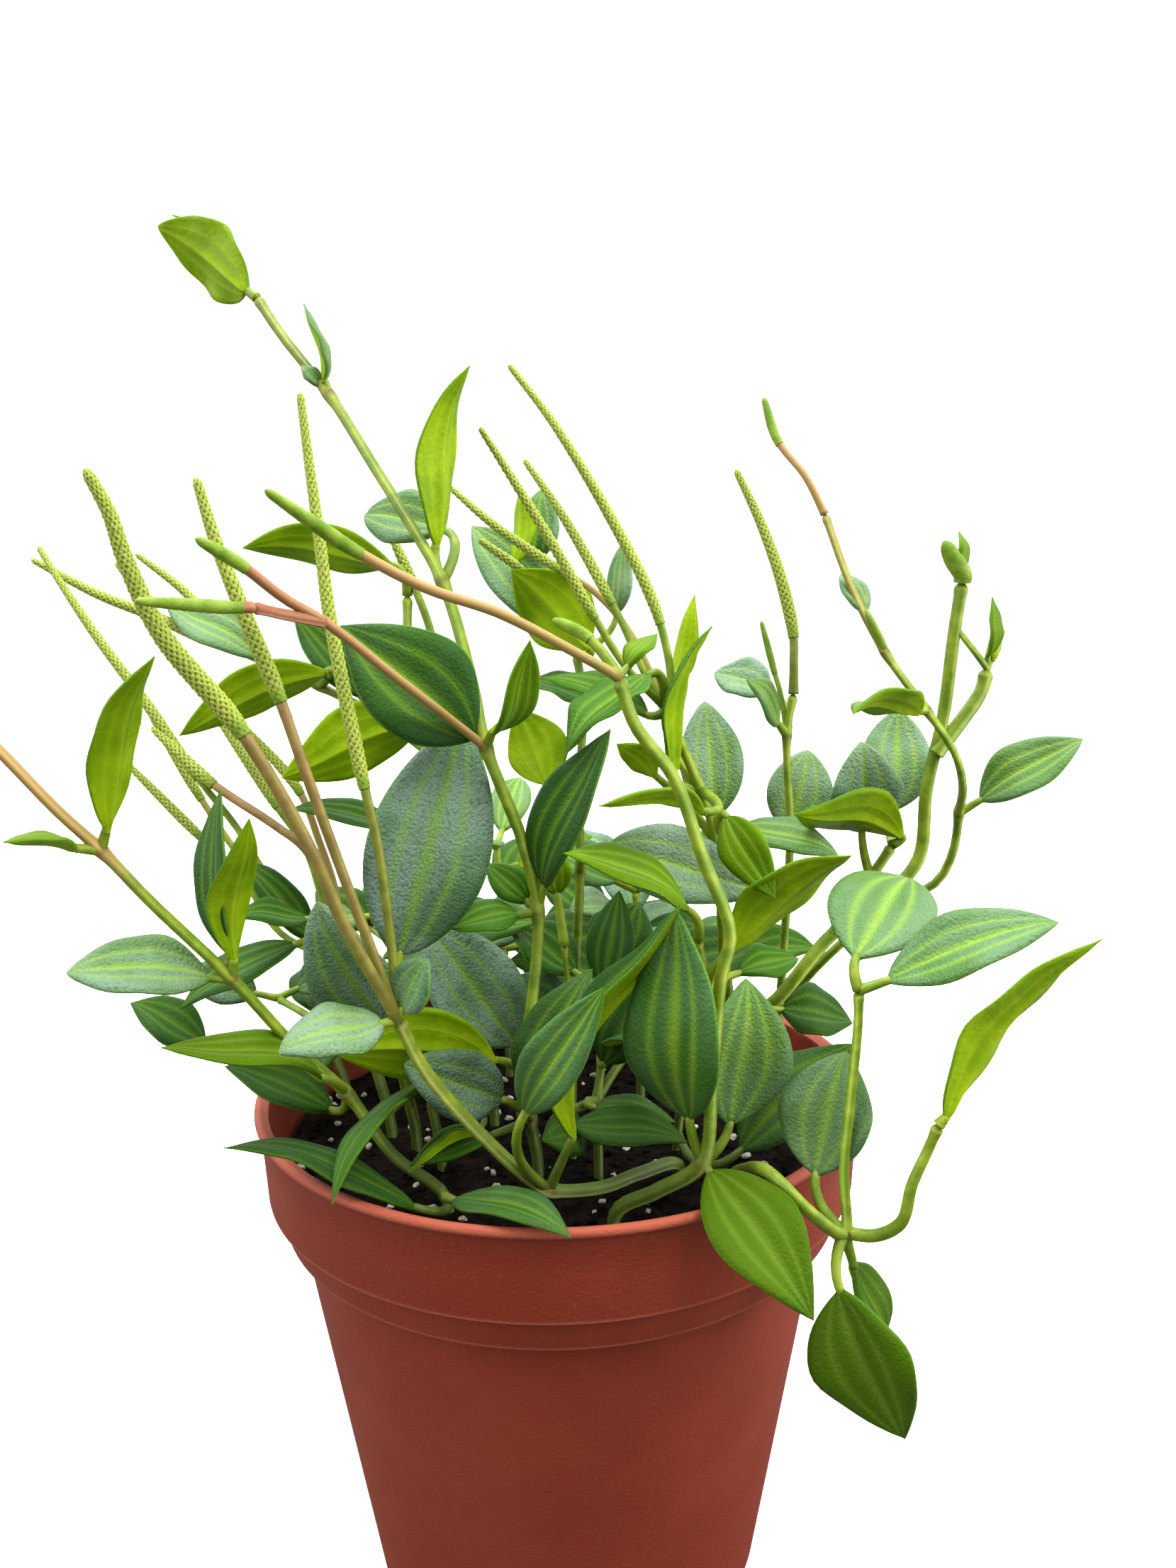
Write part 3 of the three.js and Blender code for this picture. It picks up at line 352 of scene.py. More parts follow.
        Leaf(3, (44, -28, 133), 12, (0, 1, 1), (27, -20, 116), BRIGHT),
        Leaf(3, (41, -6, 110), 8, (0, -1, 2), (30, -10, 109), MEDIUM),
        Leaf(4, (1, -36, 136), 12, (-1, -2, 3), (20, -24, 124), BRIGHT),
    ))],
    "centre_low_shoot": [Stem(2, (6, -18), ((6, -16, 90), (7, -13, 98), (6, -12, 108)), (
        Leaf(2, (18, -24, 89.5), 5.5, (0, -1, 2), (5, -22, 91.5), STRIPED),
        Leaf(2, (19.5, -28, 88), 8, (0, -1, 2), (1.5, -25, 90), DARK),
        Leaf(3, (17, -30, 106), 10, (0, -1, 2), 3, STRIPED),
        Leaf(4, (10, -15, 125), 8, (0, -2, 1), (7, -18, 110), DARK),
        Leaf(4, (14, -4, 120), 12, (0, -1, 1), 4, DARK),
        Leaf(4, (-8, -4, 116), 11, (0, -1, 2), 4, DARK),
        Leaf(3, (-8, -7, 108), 9, (0, -2, 1), (2, -10, 102), FROSTED),
        Leaf(3, (15, -14, 110), 11, (0, -1, 1), (7, -16, 96), DARK),
        Leaf(2, (22, -2, 103), 11, (0, -2, 1), (12, -10, 96), DARK),
        Leaf(2, (-3, -29, 89.5), 8, (0, -2, 1), (3.5, -22, 88), DARK),
    ))],
    "low_front_shoot": [Stem(2, (-20, -14), ((-21, -16, 90), (-20, -18, 97)), (
        Leaf(3, (-31, -50, 91.5), 8, (-1, 0, 2), 3, MEDIUM),
        Leaf(2, (-23, -33, 87), 4.5, (0, 1, 1), (-13, -26, 90), BRIGHT),
        Leaf(3, (-34, -10, 104), 9, (0, -1, 2), 3, DARK),
        Leaf(3, (-11, -8, 104), 9, (0, -1, 2), 3, DARK),
    ))],
    "slim_centre_shoot": [Stem(1.4, (2, -10), ((2, -14, 100), (1, -18, 117)), (
        Leaf(3, (-1, -16, 133), 6, (0, -1, 0), 8, BRIGHT),
    ))],
}


@dataclass(frozen=True)
class PairedShoot:
    """A shoot that leans from its foot to its crown with crossed pairs of leaves on the way."""

    foot: Pair
    crown: Point
    bearing: float
    length: float
    pairs: int
    looks: tuple[Look, ...]

    thick: float = 2.1
    lowest_pair: float = 0.4
    bow: float = 6
    upper_share: float = 0.88
    aspect: float = 0.52
    stalk: float = 4
    lowest_rise: float = 0.27
    rise_step: float = 0.13
    front_droop: float = 0.45
    face: Point = (0, -0.9, 1)

    def stem(self) -> Stem:
        """The shoot as a stem with its leaves.

        Returns:
            One rooted stem.
        """
        low, high = Vector((*self.foot, COLLAR)), Vector(self.crown)
        points, leaves = [], []
        for level in range(self.pairs):
            place = self.lowest_pair + (1 - self.lowest_pair) * level / (self.pairs - 1)
            point = low.lerp(high, place)
            point.z += self.bow * math.sin(math.pi * place)
            points.append(tuple(point))
            reach = self.length * self.upper_share**level
            look = self.looks[level % len(self.looks)]
            for turn in (0, 180):
                angle = math.radians(self.bearing + 90 * level + turn)
                rise = self.lowest_rise + self.rise_step * level
                rise -= self.front_droop * max(0.0, -math.sin(angle))
                tip = point + Vector((math.cos(angle), math.sin(angle), rise)) * reach
                width = reach * self.aspect
                leaves.append(Leaf(level + 2, tuple(tip), width, self.face, self.stalk, look))
        return Stem(self.thick, self.foot, tuple(points), tuple(leaves))


INNER = (DARK, FROSTED, STRIPED)
COOL = (FROSTED, DARK, PALE)
OPEN = (STRIPED, MEDIUM, BRIGHT, LIGHT)
PAIRED_SHOOTS: dict[str, PairedShoot] = {
    "mid_left_shoot": PairedShoot((-12, 2), (-17, 2, 114), 140, 22, 3, INNER),
    "mid_right_shoot": PairedShoot((15, 10), (14.5, 12, 118), 6, 24, 3, INNER),
    "back_left_shoot": PairedShoot((-26, 20), (-37, 30, 109), 58, 21, 3, COOL),
    "back_mid_left_shoot": PairedShoot((-10, 24), (-12, 34, 122), 164, 25, 4, OPEN),
    "back_mid_shoot": PairedShoot((8, 22), (16, 34, 112), 50, 24, 4, COOL),
    "back_right_shoot": PairedShoot((24, 36), (36, 48, 94), 60, 24, 2, OPEN),
    "back_rim_shoot": PairedShoot((-6, 42), (-8, 60, 94), 90, 24, 2, COOL),
    "left_rim_shoot": PairedShoot((-40, 12), (-54, 20, 96), 100, 21, 2, INNER),
    "back_left_rim_shoot": PairedShoot((-28, 34), (-36, 50, 98), 24, 22, 2, OPEN),
}


def clear_selection() -> None:
    """Leaves edit mode and deselects everything, so the next operator acts on its own piece."""
    if bpy.context.mode != "OBJECT":
        bpy.ops.object.mode_set(mode="OBJECT")
    bpy.ops.object.select_all(action="DESELECT")


def pick(*pieces: Piece) -> None:
    """Selects these pieces alone, the first of them active.

    Args:
        pieces: The pieces.
    """
    clear_selection()
    for piece in pieces:
        piece.select_set(True)
    bpy.context.view_layer.objects.active = pieces[0]


def name_piece(piece: Piece, name: str) -> Piece:
    """Names a piece and its mesh alike, and gives it back."""
    piece.name = piece.data.name = name
    return piece


def join_pieces(pieces: Sequence[Piece], name: str) -> Piece:
    """Joins pieces into the first of them.

    Args:
        pieces: The pieces, each with its own mesh.
        name: The name of the joined piece.

    Returns:
        The joined piece.
    """
    pick(*pieces)
    bpy.ops.object.join()
    return name_piece(bpy.context.object, name)


def settle(piece: Piece, slot: str, *nodes: str) -> None:
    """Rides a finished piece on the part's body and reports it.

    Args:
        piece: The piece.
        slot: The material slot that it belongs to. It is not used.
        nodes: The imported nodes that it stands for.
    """
    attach(piece, BODY)
    if nodes:
        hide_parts(*nodes)
    log.info("%s: %d faces", piece.name, len(piece.data.polygons))


def start_disc(sides: int, radius: float, height: float = 0, fill: str = "NGON") -> Piece:
    """Adds a flat disc and opens it for editing.

    Args:
        sides: How many corners it has.
        radius: Its radius in metres.
        height: Its height in metres.
        fill: How it is filled.

    Returns:
        The disc.
    """
    clear_selection()
    bpy.ops.mesh.primitive_circle_add(
        vertices=sides, radius=radius, fill_type=fill, location=(0, 0, height)
    )
    bpy.ops.object.transform_apply(location=True, rotation=True, scale=True)
    bpy.ops.object.mode_set(mode="EDIT")
    return bpy.context.object


def grow_rings(extrude: Callable[..., object], rings: Sequence[Pair]) -> None:
    """Extrudes the selected ring from the first of some rings to the next, up to the last.

    Args:
        extrude: The operator that extrudes what is selected.
        rings: Each ring as (radius, height), in metres.
    """
    for (radius, height), (next_radius, next_height) in zip(rings, rings[1:]):
        extrude(TRANSFORM_OT_translate={"value": (0, 0, next_height - height)})
        size = next_radius / radius
        bpy.ops.transform.resize(value=(size, size, 1), center_override=(0, 0, next_height))


def end_editing() -> None:
    """Turns every face of the edited piece outward and leaves edit mode."""
    bpy.ops.mesh.select_all(action="SELECT")
    bpy.ops.mesh.normals_make_consistent(inside=False)
    bpy.ops.object.mode_set(mode="OBJECT")


def give(thing: object, settings: dict[str, object]) -> None:
    """Sets several properties of one thing."""
    for key, value in settings.items():
        setattr(thing, key, value)


def change(piece: Piece, kind: str, **settings: object) -> None:
    """Applies one modifier to the active piece.

    Args:
        piece: The piece.
        kind: The modifier's type.
        settings: The modifier's properties.
    """
    modifier = piece.modifiers.new("change", kind)
    give(modifier, settings)
    bpy.ops.object.modifier_apply(modifier=modifier.name)


class Sketch:
    """A node tree being drawn, with short ways to add nodes and join their sockets."""

    def __init__(self, tree: Tree) -> None:
        """Starts on an empty tree."""
        self.tree = tree
        tree.nodes.clear()

    @classmethod
    def of_group(cls, name: str, inputs: Sequence[str], outputs: Sequence[str]) -> "Sketch":
        """Starts a shader node group.

        Args:
            name: The group's name.
            inputs: Its inputs, each as the name and the socket type's last word.
            outputs: Its outputs in the same way.

        Returns:
            The group's sketch.
        """
        tree = bpy.data.node_groups.new(name, "ShaderNodeTree")
        for direction, sockets in (("INPUT", inputs), ("OUTPUT", outputs)):
            for label, kind in (socket.split() for socket in sockets):
                tree.interface.new_socket(
                    name=label, in_out=direction, socket_type="NodeSocket" + kind
                )
        return cls(tree)

    def feed(self, target: Socket, value: object) -> None:
        """Links a socket to an input, or sets a plain value on it.

        Args:
            target: The input.
            value: A socket, a number or a tuple.
        """
        if isinstance(value, Socket):
            self.tree.links.new(value, target)
        elif isinstance(value, tuple) and target.type == "RGBA":
            target.default_value = (*value, 1.0)
        else:
            target.default_value = value

    def node(self, kind: str, inputs: Inputs | None = None, **settings: object) -> Node:
        """Adds a node.

        Args:
            kind: The node's type.
            inputs: What goes into its inputs, by their names or numbers.
            settings: Properties to set on it.

        Returns:
            The node.
        """
        made = self.tree.nodes.new(kind)
        give(made, settings)
        for label, value in (inputs or {}).items():
            self.feed(made.inputs[label], value)
        return made

    def effect(self, tree: Tree, **inputs: object) -> bpy.types.NodeOutputs:
        """Places a shared effect with its own values and gives its outputs."""
        return self.node("ShaderNodeGroup", inputs, node_tree=tree).outputs

    def maths(self, how: str, *values: object) -> Socket:
        """Combines one to three sockets or numbers with a mathematical operation."""
        return self.node("ShaderNodeMath", dict(enumerate(values)), operation=how).outputs[0]

    def times(self, first: object, second: object) -> Socket:
        """The product of two sockets or numbers."""
        return self.maths("MULTIPLY", first, second)

    def mix(self, amount: object, first: object, second: object) -> Socket:
        """Mixes two colours.

        Args:
            amount: How much of the second, a socket or a number.
            first: A colour or its socket.
            second: A colour or its socket.

        Returns:
            The mixed colour's socket.
        """
        made = self.node("ShaderNodeMix", {0: amount}, data_type="RGBA")
        for target, value in zip((s for s in made.inputs if s.type == "RGBA"), (first, second)):
            self.feed(target, value)
        return next(s for s in made.outputs if s.type == "RGBA")

    def span(self, value: object, low: float, high: float, *ends: float) -> Socket:
        """Maps a value smoothly to a new span, held at both ends.

        Args:
            value: A socket or a number.
            low: The value where the span starts.
            high: The value where it ends.
            ends: What it starts and ends at, 0 and 1 where they are left out.

        Returns:
            The mapped value's socket.
        """
        start, end = ends or (0.0, 1.0)
        inputs = {"Value": value, "From Min": low, "From Max": high, "To Min": start, "To Max": end}
        return self.node("ShaderNodeMapRange", inputs, interpolation_type="SMOOTHSTEP").outputs[0]

    def own_place(self) -> Socket:
        """The place in the piece's own coordinates."""
        return self.node("ShaderNodeTexCoord").outputs["Object"]

    def parts(self, place: Socket) -> bpy.types.NodeOutputs:
        """The X, Y and Z outputs of a place."""
        return self.node("ShaderNodeSeparateXYZ", {0: place}).outputs

    def across(self) -> Socket:
        """The place across a leaf, from 0 at one edge to 1 at the other."""
        return self.parts(self.node("ShaderNodeUVMap", uv_map="UVMap").outputs["UV"])["X"]

    def off_middle(self, across: Socket) -> Socket:
        """How far a place across a leaf lies from its midrib, from 0 to 1."""
        return self.maths("ABSOLUTE", self.maths("MULTIPLY_ADD", across, 2.0, -1.0))

    def noise(self, scale: object, detail: float = 3, roughness: float = 0.5) -> Socket:
        """Noise over the piece's own coordinates.

        Args:
            scale: Its scale, per metre.
            detail: Its number of octaves.
            roughness: How strong the finer octaves are.

        Returns:
            The noise's value socket.
        """
        inputs = {"Scale": scale, "Detail": detail, "Roughness": roughness}
        return self.node("ShaderNodeTexNoise", {"Vector": self.own_place(), **inputs}).outputs[0]

    def unsettle(self, value: Socket, scale: float, detail: float, amount: float) -> Socket:
        """Moves a value up and down by noise.

        Args:
            value: The value's socket.
            scale: The noise's scale, per metre.
            detail: Its number of octaves.
            amount: The whole width of the change.

        Returns:
            The moved value's socket.
        """
        shift = self.maths("MULTIPLY_ADD", self.noise(scale, detail), amount, -amount / 2)
        return self.maths("ADD", value, shift)

    def attribute(self, name: str) -> Socket:
        """The value of a mesh attribute."""
        return self.node("ShaderNodeAttribute", attribute_name=name).outputs["Fac"]

    def bump(self, height: Socket, strength: object, distance: float) -> Socket:
        """A normal bent by a height over a distance in metres."""
        inputs = {"Height": height, "Strength": strength, "Distance": distance}
        return self.node("ShaderNodeBump", inputs).outputs["Normal"]


class Effects:
    """The effects that more than one finish uses, each built once as a node group.

    A band or a vein is its place from midrib to edge, its width and its strength.
    """

    PATCH_EDGES: Ramp = (0.36, 0.64)
    BAND_NOISE: Noise = (140.0, 2, 0.10)
    BANDS = ((0.0, 0.125, 1.0), (0.46, 0.085, 0.68))
    VEINS = ((0.0, 0.030, 1.0), (0.46, 0.025, 0.6))
    OCTAVES, FINENESS = (4, 3), 0.6
    FINE_SCALE, FINE_HEIGHT = 2.3, 0.5
    HOLLOWS: Ramp = (0.35, 0.8)

    def __init__(self) -> None:
        """Builds the groups."""
        self.mottle = self._mottle()
        self.bands = self._bands()
        self.grain = self._grain()

    def _mottle(self) -> Tree:
        """Two colours in soft patches.

        Returns:
            The group.
        """
        inputs = ("First Color", "Second Color", "Scale Float")
        sketch = Sketch.of_group("Mottle", inputs, ("Color Color",))
        given = sketch.node("NodeGroupInput").outputs
        noise = sketch.noise(given["Scale"], self.OCTAVES[0], self.FINENESS)
        patch = sketch.span(noise, *self.PATCH_EDGES)
        colour = sketch.mix(patch, given["First"], given["Second"])
        sketch.node("NodeGroupOutput", {"Color": colour})
        return sketch.tree

    def _bands(self) -> Tree:
        """Light bands along a leaf's arched veins, from the place across it, 0 to 1.

        Returns:
            The group.
        """
        sketch = Sketch.of_group("Vein bands", ("Across Float",), ("Band Float", "Vein Float"))
        across = sketch.node("NodeGroupInput").outputs["Across"]
        away = sketch.unsettle(sketch.off_middle(across), *self.BAND_NOISE)

        def ridge(place: float, wide: float, tall: float) -> Socket:
            """One soft ridge at a place across the leaf.

            Args:
                place: Where it is, from 0 at the midrib to 1 at the edge.
                wide: How wide it is.
                tall: How strong it is.

            Returns:
                The ridge's socket.
            """
            off = sketch.maths("DIVIDE", sketch.maths("SUBTRACT", away, place), wide)
            falling = sketch.maths("EXPONENT", sketch.times(sketch.times(off, off), -1.0))
            return sketch.times(falling, tall)

        band = sketch.maths("MAXIMUM", *(ridge(*each) for each in self.BANDS))
        vein = sketch.maths("MAXIMUM", *(ridge(*each) for each in self.VEINS))
        sketch.node("NodeGroupOutput", {"Band": band, "Vein": vein})
        return sketch.tree

    def _grain(self) -> Tree:
        """Pebbled grain, as a height and as a mask of its hollows.

        Returns:
            The group.
        """
        outputs = ("Height Float", "Hollow Float")
        sketch = Sketch.of_group("Pebbled grain", ("Scale Float",), outputs)
        scale = sketch.node("NodeGroupInput").outputs["Scale"]
        inputs = {"Vector": sketch.own_place(), "Scale": scale}
        cells = sketch.node("ShaderNodeTexVoronoi", inputs, feature="SMOOTH_F1")
        fine = sketch.noise(sketch.times(scale, self.FINE_SCALE), self.OCTAVES[1], self.FINENESS)
        distance = cells.outputs["Distance"]
        height = sketch.maths("SUBTRACT", sketch.times(fine, self.FINE_HEIGHT), distance)
        hollow = sketch.span(distance, *self.HOLLOWS)
        sketch.node("NodeGroupOutput", {"Height": height, "Hollow": hollow})
        return sketch.tree


@dataclass(frozen=True)
class Finish:
    """A finish: two colours in soft patches, a pebbled grain, its gloss and how deep light goes in.

    Depth is the weight, radius and scale of the light below the surface. A finish with more to it
    draws its own colours and relief over these.
    """

    name: str
    roughness: float = 0.5
    gloss: float = 0.3
    sheen: Colour = (1.0, 1.0, 1.0)
    depth: Depth = (0.0, (1.0, 0.2, 0.1), 0.05)
    first: Colour = (0.5, 0.5, 0.5)
    second: Colour = (0.5, 0.5, 0.5)
    patches: float = 100
    grain: float = 1000
    relief: Pair = (0.5, 0.0003)

    def make(self, effects: Effects) -> Material:
        """Builds the material.

        Args:
            effects: The shared node groups.

        Returns:
            The material.
        """
        material = bpy.data.materials.new(self.name)
        material.use_nodes = True
        sketch = Sketch(material.node_tree)
        weight, radius, scale = self.depth
        inputs = {
            "Roughness": self.roughness,
            "Specular IOR Level": self.gloss,
            "Specular Tint": self.sheen,
            "Subsurface Weight": weight,
            "Subsurface Radius": radius,
            "Subsurface Scale": scale,
            **self.draw(sketch, effects),
        }
        shader = sketch.node("ShaderNodeBsdfPrincipled", inputs)
        sketch.node("ShaderNodeOutputMaterial", {"Surface": shader.outputs["BSDF"]})
        return material

    def draw(self, sketch: Sketch, effects: Effects) -> Inputs:
        """Draws the finish's colours and relief.

        Args:
            sketch: The material being drawn.
            effects: The shared node groups.

        Returns:
            What goes into the shader's inputs, by their names.
        """
        skin = self.patched(sketch, effects)
        grain = sketch.effect(effects.grain, Scale=self.grain)
        return {"Base Color": skin, "Normal": sketch.bump(grain["Height"], *self.relief)}

    def patched(self, sketch: Sketch, effects: Effects) -> Socket:
        """The finish's two colours in soft patches."""
        given = {"First": self.first, "Second": self.second, "Scale": self.patches}
        return sketch.effect(effects.mottle, **given)["Color"]


@dataclass(frozen=True)
class LeafTop(Finish):
    """The upper side: dark to fresh green with light bands along the veins, a cool painted sheen of
    the sky, and painted shade low down.
    """

    sheen: Colour = (0.80, 1.0, 0.80)
    depth: Depth = (0.10, (0.5, 1.0, 0.2), 0.0015)
    grain: float = 2500
    relief: Pair = (0.8, 0.0003)
    deep: Colour = (0.009, 0.044, 0.002)
    middle: Colour = (0.029, 0.100, 0.002)
    fresh: Colour = (0.078, 0.145, 0.001)
    band_dark: Colour = (0.135, 0.260, 0.018)
    band_fresh: Colour = (0.210, 0.330, 0.030)
    # Painted sheen: a blue-grey reflection of the sky, painted into the leaf colour.
    frost: Colour = (0.225, 0.310, 0.255)
    margin: Colour = (0.120, 0.240, 0.020)
    # Painted shade: the dark colour that leaves low in the plant are darkened to.
    painted_shade: Colour = (0.008, 0.026, 0.002)
    tone_noise: Noise = (90.0, 3, 0.5)
    to_middle: Ramp = (0.0, 0.55)
    to_fresh: Ramp = (0.5, 1.0)
    to_fresh_band: Ramp = (0.1, 0.9)
    sky_sheen_noise: float = 75.0
    sky_sheen_cover: Ramp = (0.36, 0.62, 0.25, 0.95)
    sky_sheen_gaps: float = 0.55
    sky_sheen_strength: float = 0.9
    band_strength: float = 0.85
    margin_cover: Ramp = (0.955, 1.0, 0.0, 0.45)
    vein_depth: float = 0.25
    shade: Ramp = (0.08, 0.125, 0.6, 0.0)

    def draw(self, sketch: Sketch, effects: Effects) -> Inputs:
        """Draws the bands, the tone and the painted sky sheen of each leaf by its own attributes,
        and painted shade low down.

        Args:
            sketch: The material being drawn.
            effects: The shared node groups.

        Returns:
            What goes into the shader's inputs, by their names.
        """
        across = sketch.across()
        bands = sketch.effect(effects.bands, Across=across)
        grain = sketch.effect(effects.grain, Scale=self.grain)
        tone = sketch.unsettle(sketch.attribute("tone"), *self.tone_noise)
        lower = sketch.mix(sketch.span(tone, *self.to_middle), self.deep, self.middle)
        skin = sketch.mix(sketch.span(tone, *self.to_fresh), lower, self.fresh)
        # Painted sheen of the sky in soft patches. It is lighter on the grain's crowns as painted
        # highlight, and darker in the grain's hollows as painted shade.
        cover = sketch.span(sketch.noise(self.sky_sheen_noise), *self.sky_sheen_cover)
        gaps = sketch.maths("MULTIPLY_ADD", grain["Hollow"], -self.sky_sheen_gaps, 1.0)
        sky_sheen_amount = sketch.times(sketch.times(sketch.attribute("frost"), cover), gaps)
        skin = sketch.mix(sketch.times(sky_sheen_amount, self.sky_sheen_strength), skin, self.frost)
        light = sketch.mix(sketch.span(tone, *self.to_fresh_band), self.band_dark, self.band_fresh)
        stripe = sketch.times(bands["Band"], sketch.attribute("stripe"))
        skin = sketch.mix(sketch.times(stripe, self.band_strength), skin, light)
        edge = sketch.span(sketch.off_middle(across), *self.margin_cover)
        skin = sketch.mix(edge, skin, self.margin)
        # Painted shade: leaves are darkened below the shade heights, where the foliage above shades
        # them.
        low = sketch.span(sketch.parts(sketch.own_place())["Z"], *self.shade)
        skin = sketch.mix(low, skin, self.painted_shade)
        rough = sketch.times(grain["Height"], sketch.attribute("rough"))
        height = sketch.maths("MULTIPLY_ADD", bands["Vein"], -self.vein_depth, rough)
        return {"Base Color": skin, "Normal": sketch.bump(height, *self.relief)}


@dataclass(frozen=True)
class LeafUnder(Finish):
    """The underside: bright yellow-green with paler veins."""

    sheen: Colour = (0.8, 1.0, 0.4)
    depth: Depth = (0.15, (0.6, 1.0, 0.2), 0.0015)
    first: Colour = (0.130, 0.228, 0.002)
    second: Colour = (0.225, 0.335, 0.004)
    patches: float = 110
    grain: float = 1500
    relief: Pair = (0.25, 0.0003)
    vein: Colour = (0.310, 0.430, 0.015)
    vein_strength: float = 0.35
    vein_height: float = 0.8

    def draw(self, sketch: Sketch, effects: Effects) -> Inputs:
        """Draws soft patches and the raised veins.

        Args:
            sketch: The material being drawn.
            effects: The shared node groups.

        Returns:
            What goes into the shader's inputs, by their names.
        """
        bands = sketch.effect(effects.bands, Across=sketch.across())
        veins = sketch.times(bands["Band"], self.vein_strength)
        skin = sketch.mix(veins, self.patched(sketch, effects), self.vein)
        grain = sketch.effect(effects.grain, Scale=self.grain)
        height = sketch.maths("MULTIPLY_ADD", bands["Vein"], self.vein_height, grain["Height"])
        return {"Base Color": skin, "Normal": sketch.bump(height, *self.relief)}


@dataclass(frozen=True)
class StemSkin(Finish):
    """Stems, stalks and peduncles: yellow-green, tan to red where the stem's blush says so."""

    depth: Depth = (0.12, (0.8, 1.0, 0.3), 0.001)
    first: Colour = (0.095, 0.160, 0.004)
    second: Colour = (0.190, 0.250, 0.014)
    patches: float = 260
    grain: float = 1800
    relief: Pair = (0.15, 0.0002)
    shaded: Colour = (0.040, 0.062, 0.010)
    tan: Colour = (0.300, 0.185, 0.058)
    red: Colour = (0.235, 0.075, 0.035)
    scar: Colour = (0.085, 0.045, 0.012)
    shade: Ramp = (0.083, 0.108, 0.75, 0.0)
    in_pot: Ramp = (0.049, 0.055, 1.0, 0.15)
    blush_noise: Noise = (300.0, 3, 0.16)
    to_tan: Ramp = (0.1, 0.5)
    to_red: Ramp = (0.55, 0.95)
    scar_noise: float = 420.0
    scar_cover: Ramp = (0.3, 0.7, 0.45, 1.0)

    def draw(self, sketch: Sketch, effects: Effects) -> Inputs:
        """Draws the skin by its blush, shaded low in the pot, with brown scars at the joints.

        Args:
            sketch: The material being drawn.
            effects: The shared node groups.

        Returns:
            What goes into the shader's inputs, by their names.
        """
        place = sketch.parts(sketch.own_place())
        squares = [sketch.times(place[axis], place[axis]) for axis in "XY"]
        radius = sketch.maths("SQRT", sketch.maths("ADD", *squares))
        low, inside = sketch.span(place["Z"], *self.shade), sketch.span(radius, *self.in_pot)
        skin = sketch.mix(sketch.times(low, inside), self.patched(sketch, effects), self.shaded)
        blush = sketch.unsettle(sketch.attribute("blush"), *self.blush_noise)
        skin = sketch.mix(sketch.span(blush, *self.to_tan), skin, self.tan)
        skin = sketch.mix(sketch.span(blush, *self.to_red), skin, self.red)
        cover = sketch.span(sketch.noise(self.scar_noise), *self.scar_cover)
        skin = sketch.mix(sketch.times(sketch.attribute("scar"), cover), skin, self.scar)
        grain = sketch.effect(effects.grain, Scale=self.grain)
        return {"Base Color": skin, "Normal": sketch.bump(grain["Height"], *self.relief)}


@dataclass(frozen=True)
class SpikeGrain(Finish):
    """Flower spikes: yellow-green grains with painted shade in the hollows between them."""

    depth: Depth = (0.08, (1.0, 0.2, 0.1), 0.0008)
    first: Colour = (0.090, 0.175, 0.003)
    second: Colour = (0.300, 0.365, 0.050)
    patches: float = 350
    grain: float = 2600
    # Painted shade: the darker colour in the hollows between the grains.
    hollow_shade: Colour = (0.080, 0.105, 0.008)
    to_grain: Ramp = (0.12, 0.55)
    plainness: float = 0.6
    grain_strength: Ramp = (0.1, 0.7)
    grain_distance: float = 0.0004

    def draw(self, sketch: Sketch, effects: Effects) -> Inputs:
        """Draws the grains by the relief of the mesh with painted shade in their hollows, and a
        plain skin where it is young.

        Args:
            sketch: The material being drawn.
            effects: The shared node groups.

        Returns:
            What goes into the shader's inputs, by their names.
        """
        # Painted shade in the hollows between the grains, following the mesh's relief.
        height = sketch.span(sketch.attribute("relief"), *self.to_grain)
        ripe = sketch.mix(height, self.hollow_shade, self.second)
        young = sketch.mix(self.plainness, self.patched(sketch, effects), self.first)
        age = sketch.attribute("ripeness")
        skin = sketch.mix(sketch.span(age, 0.0, 1.0), young, ripe)
        grain = sketch.effect(effects.grain, Scale=self.grain)
        strength = sketch.span(age, 0.0, 1.0, *self.grain_strength)
        normal = sketch.bump(grain["Height"], strength, self.grain_distance)
        return {"Base Color": skin, "Normal": normal}


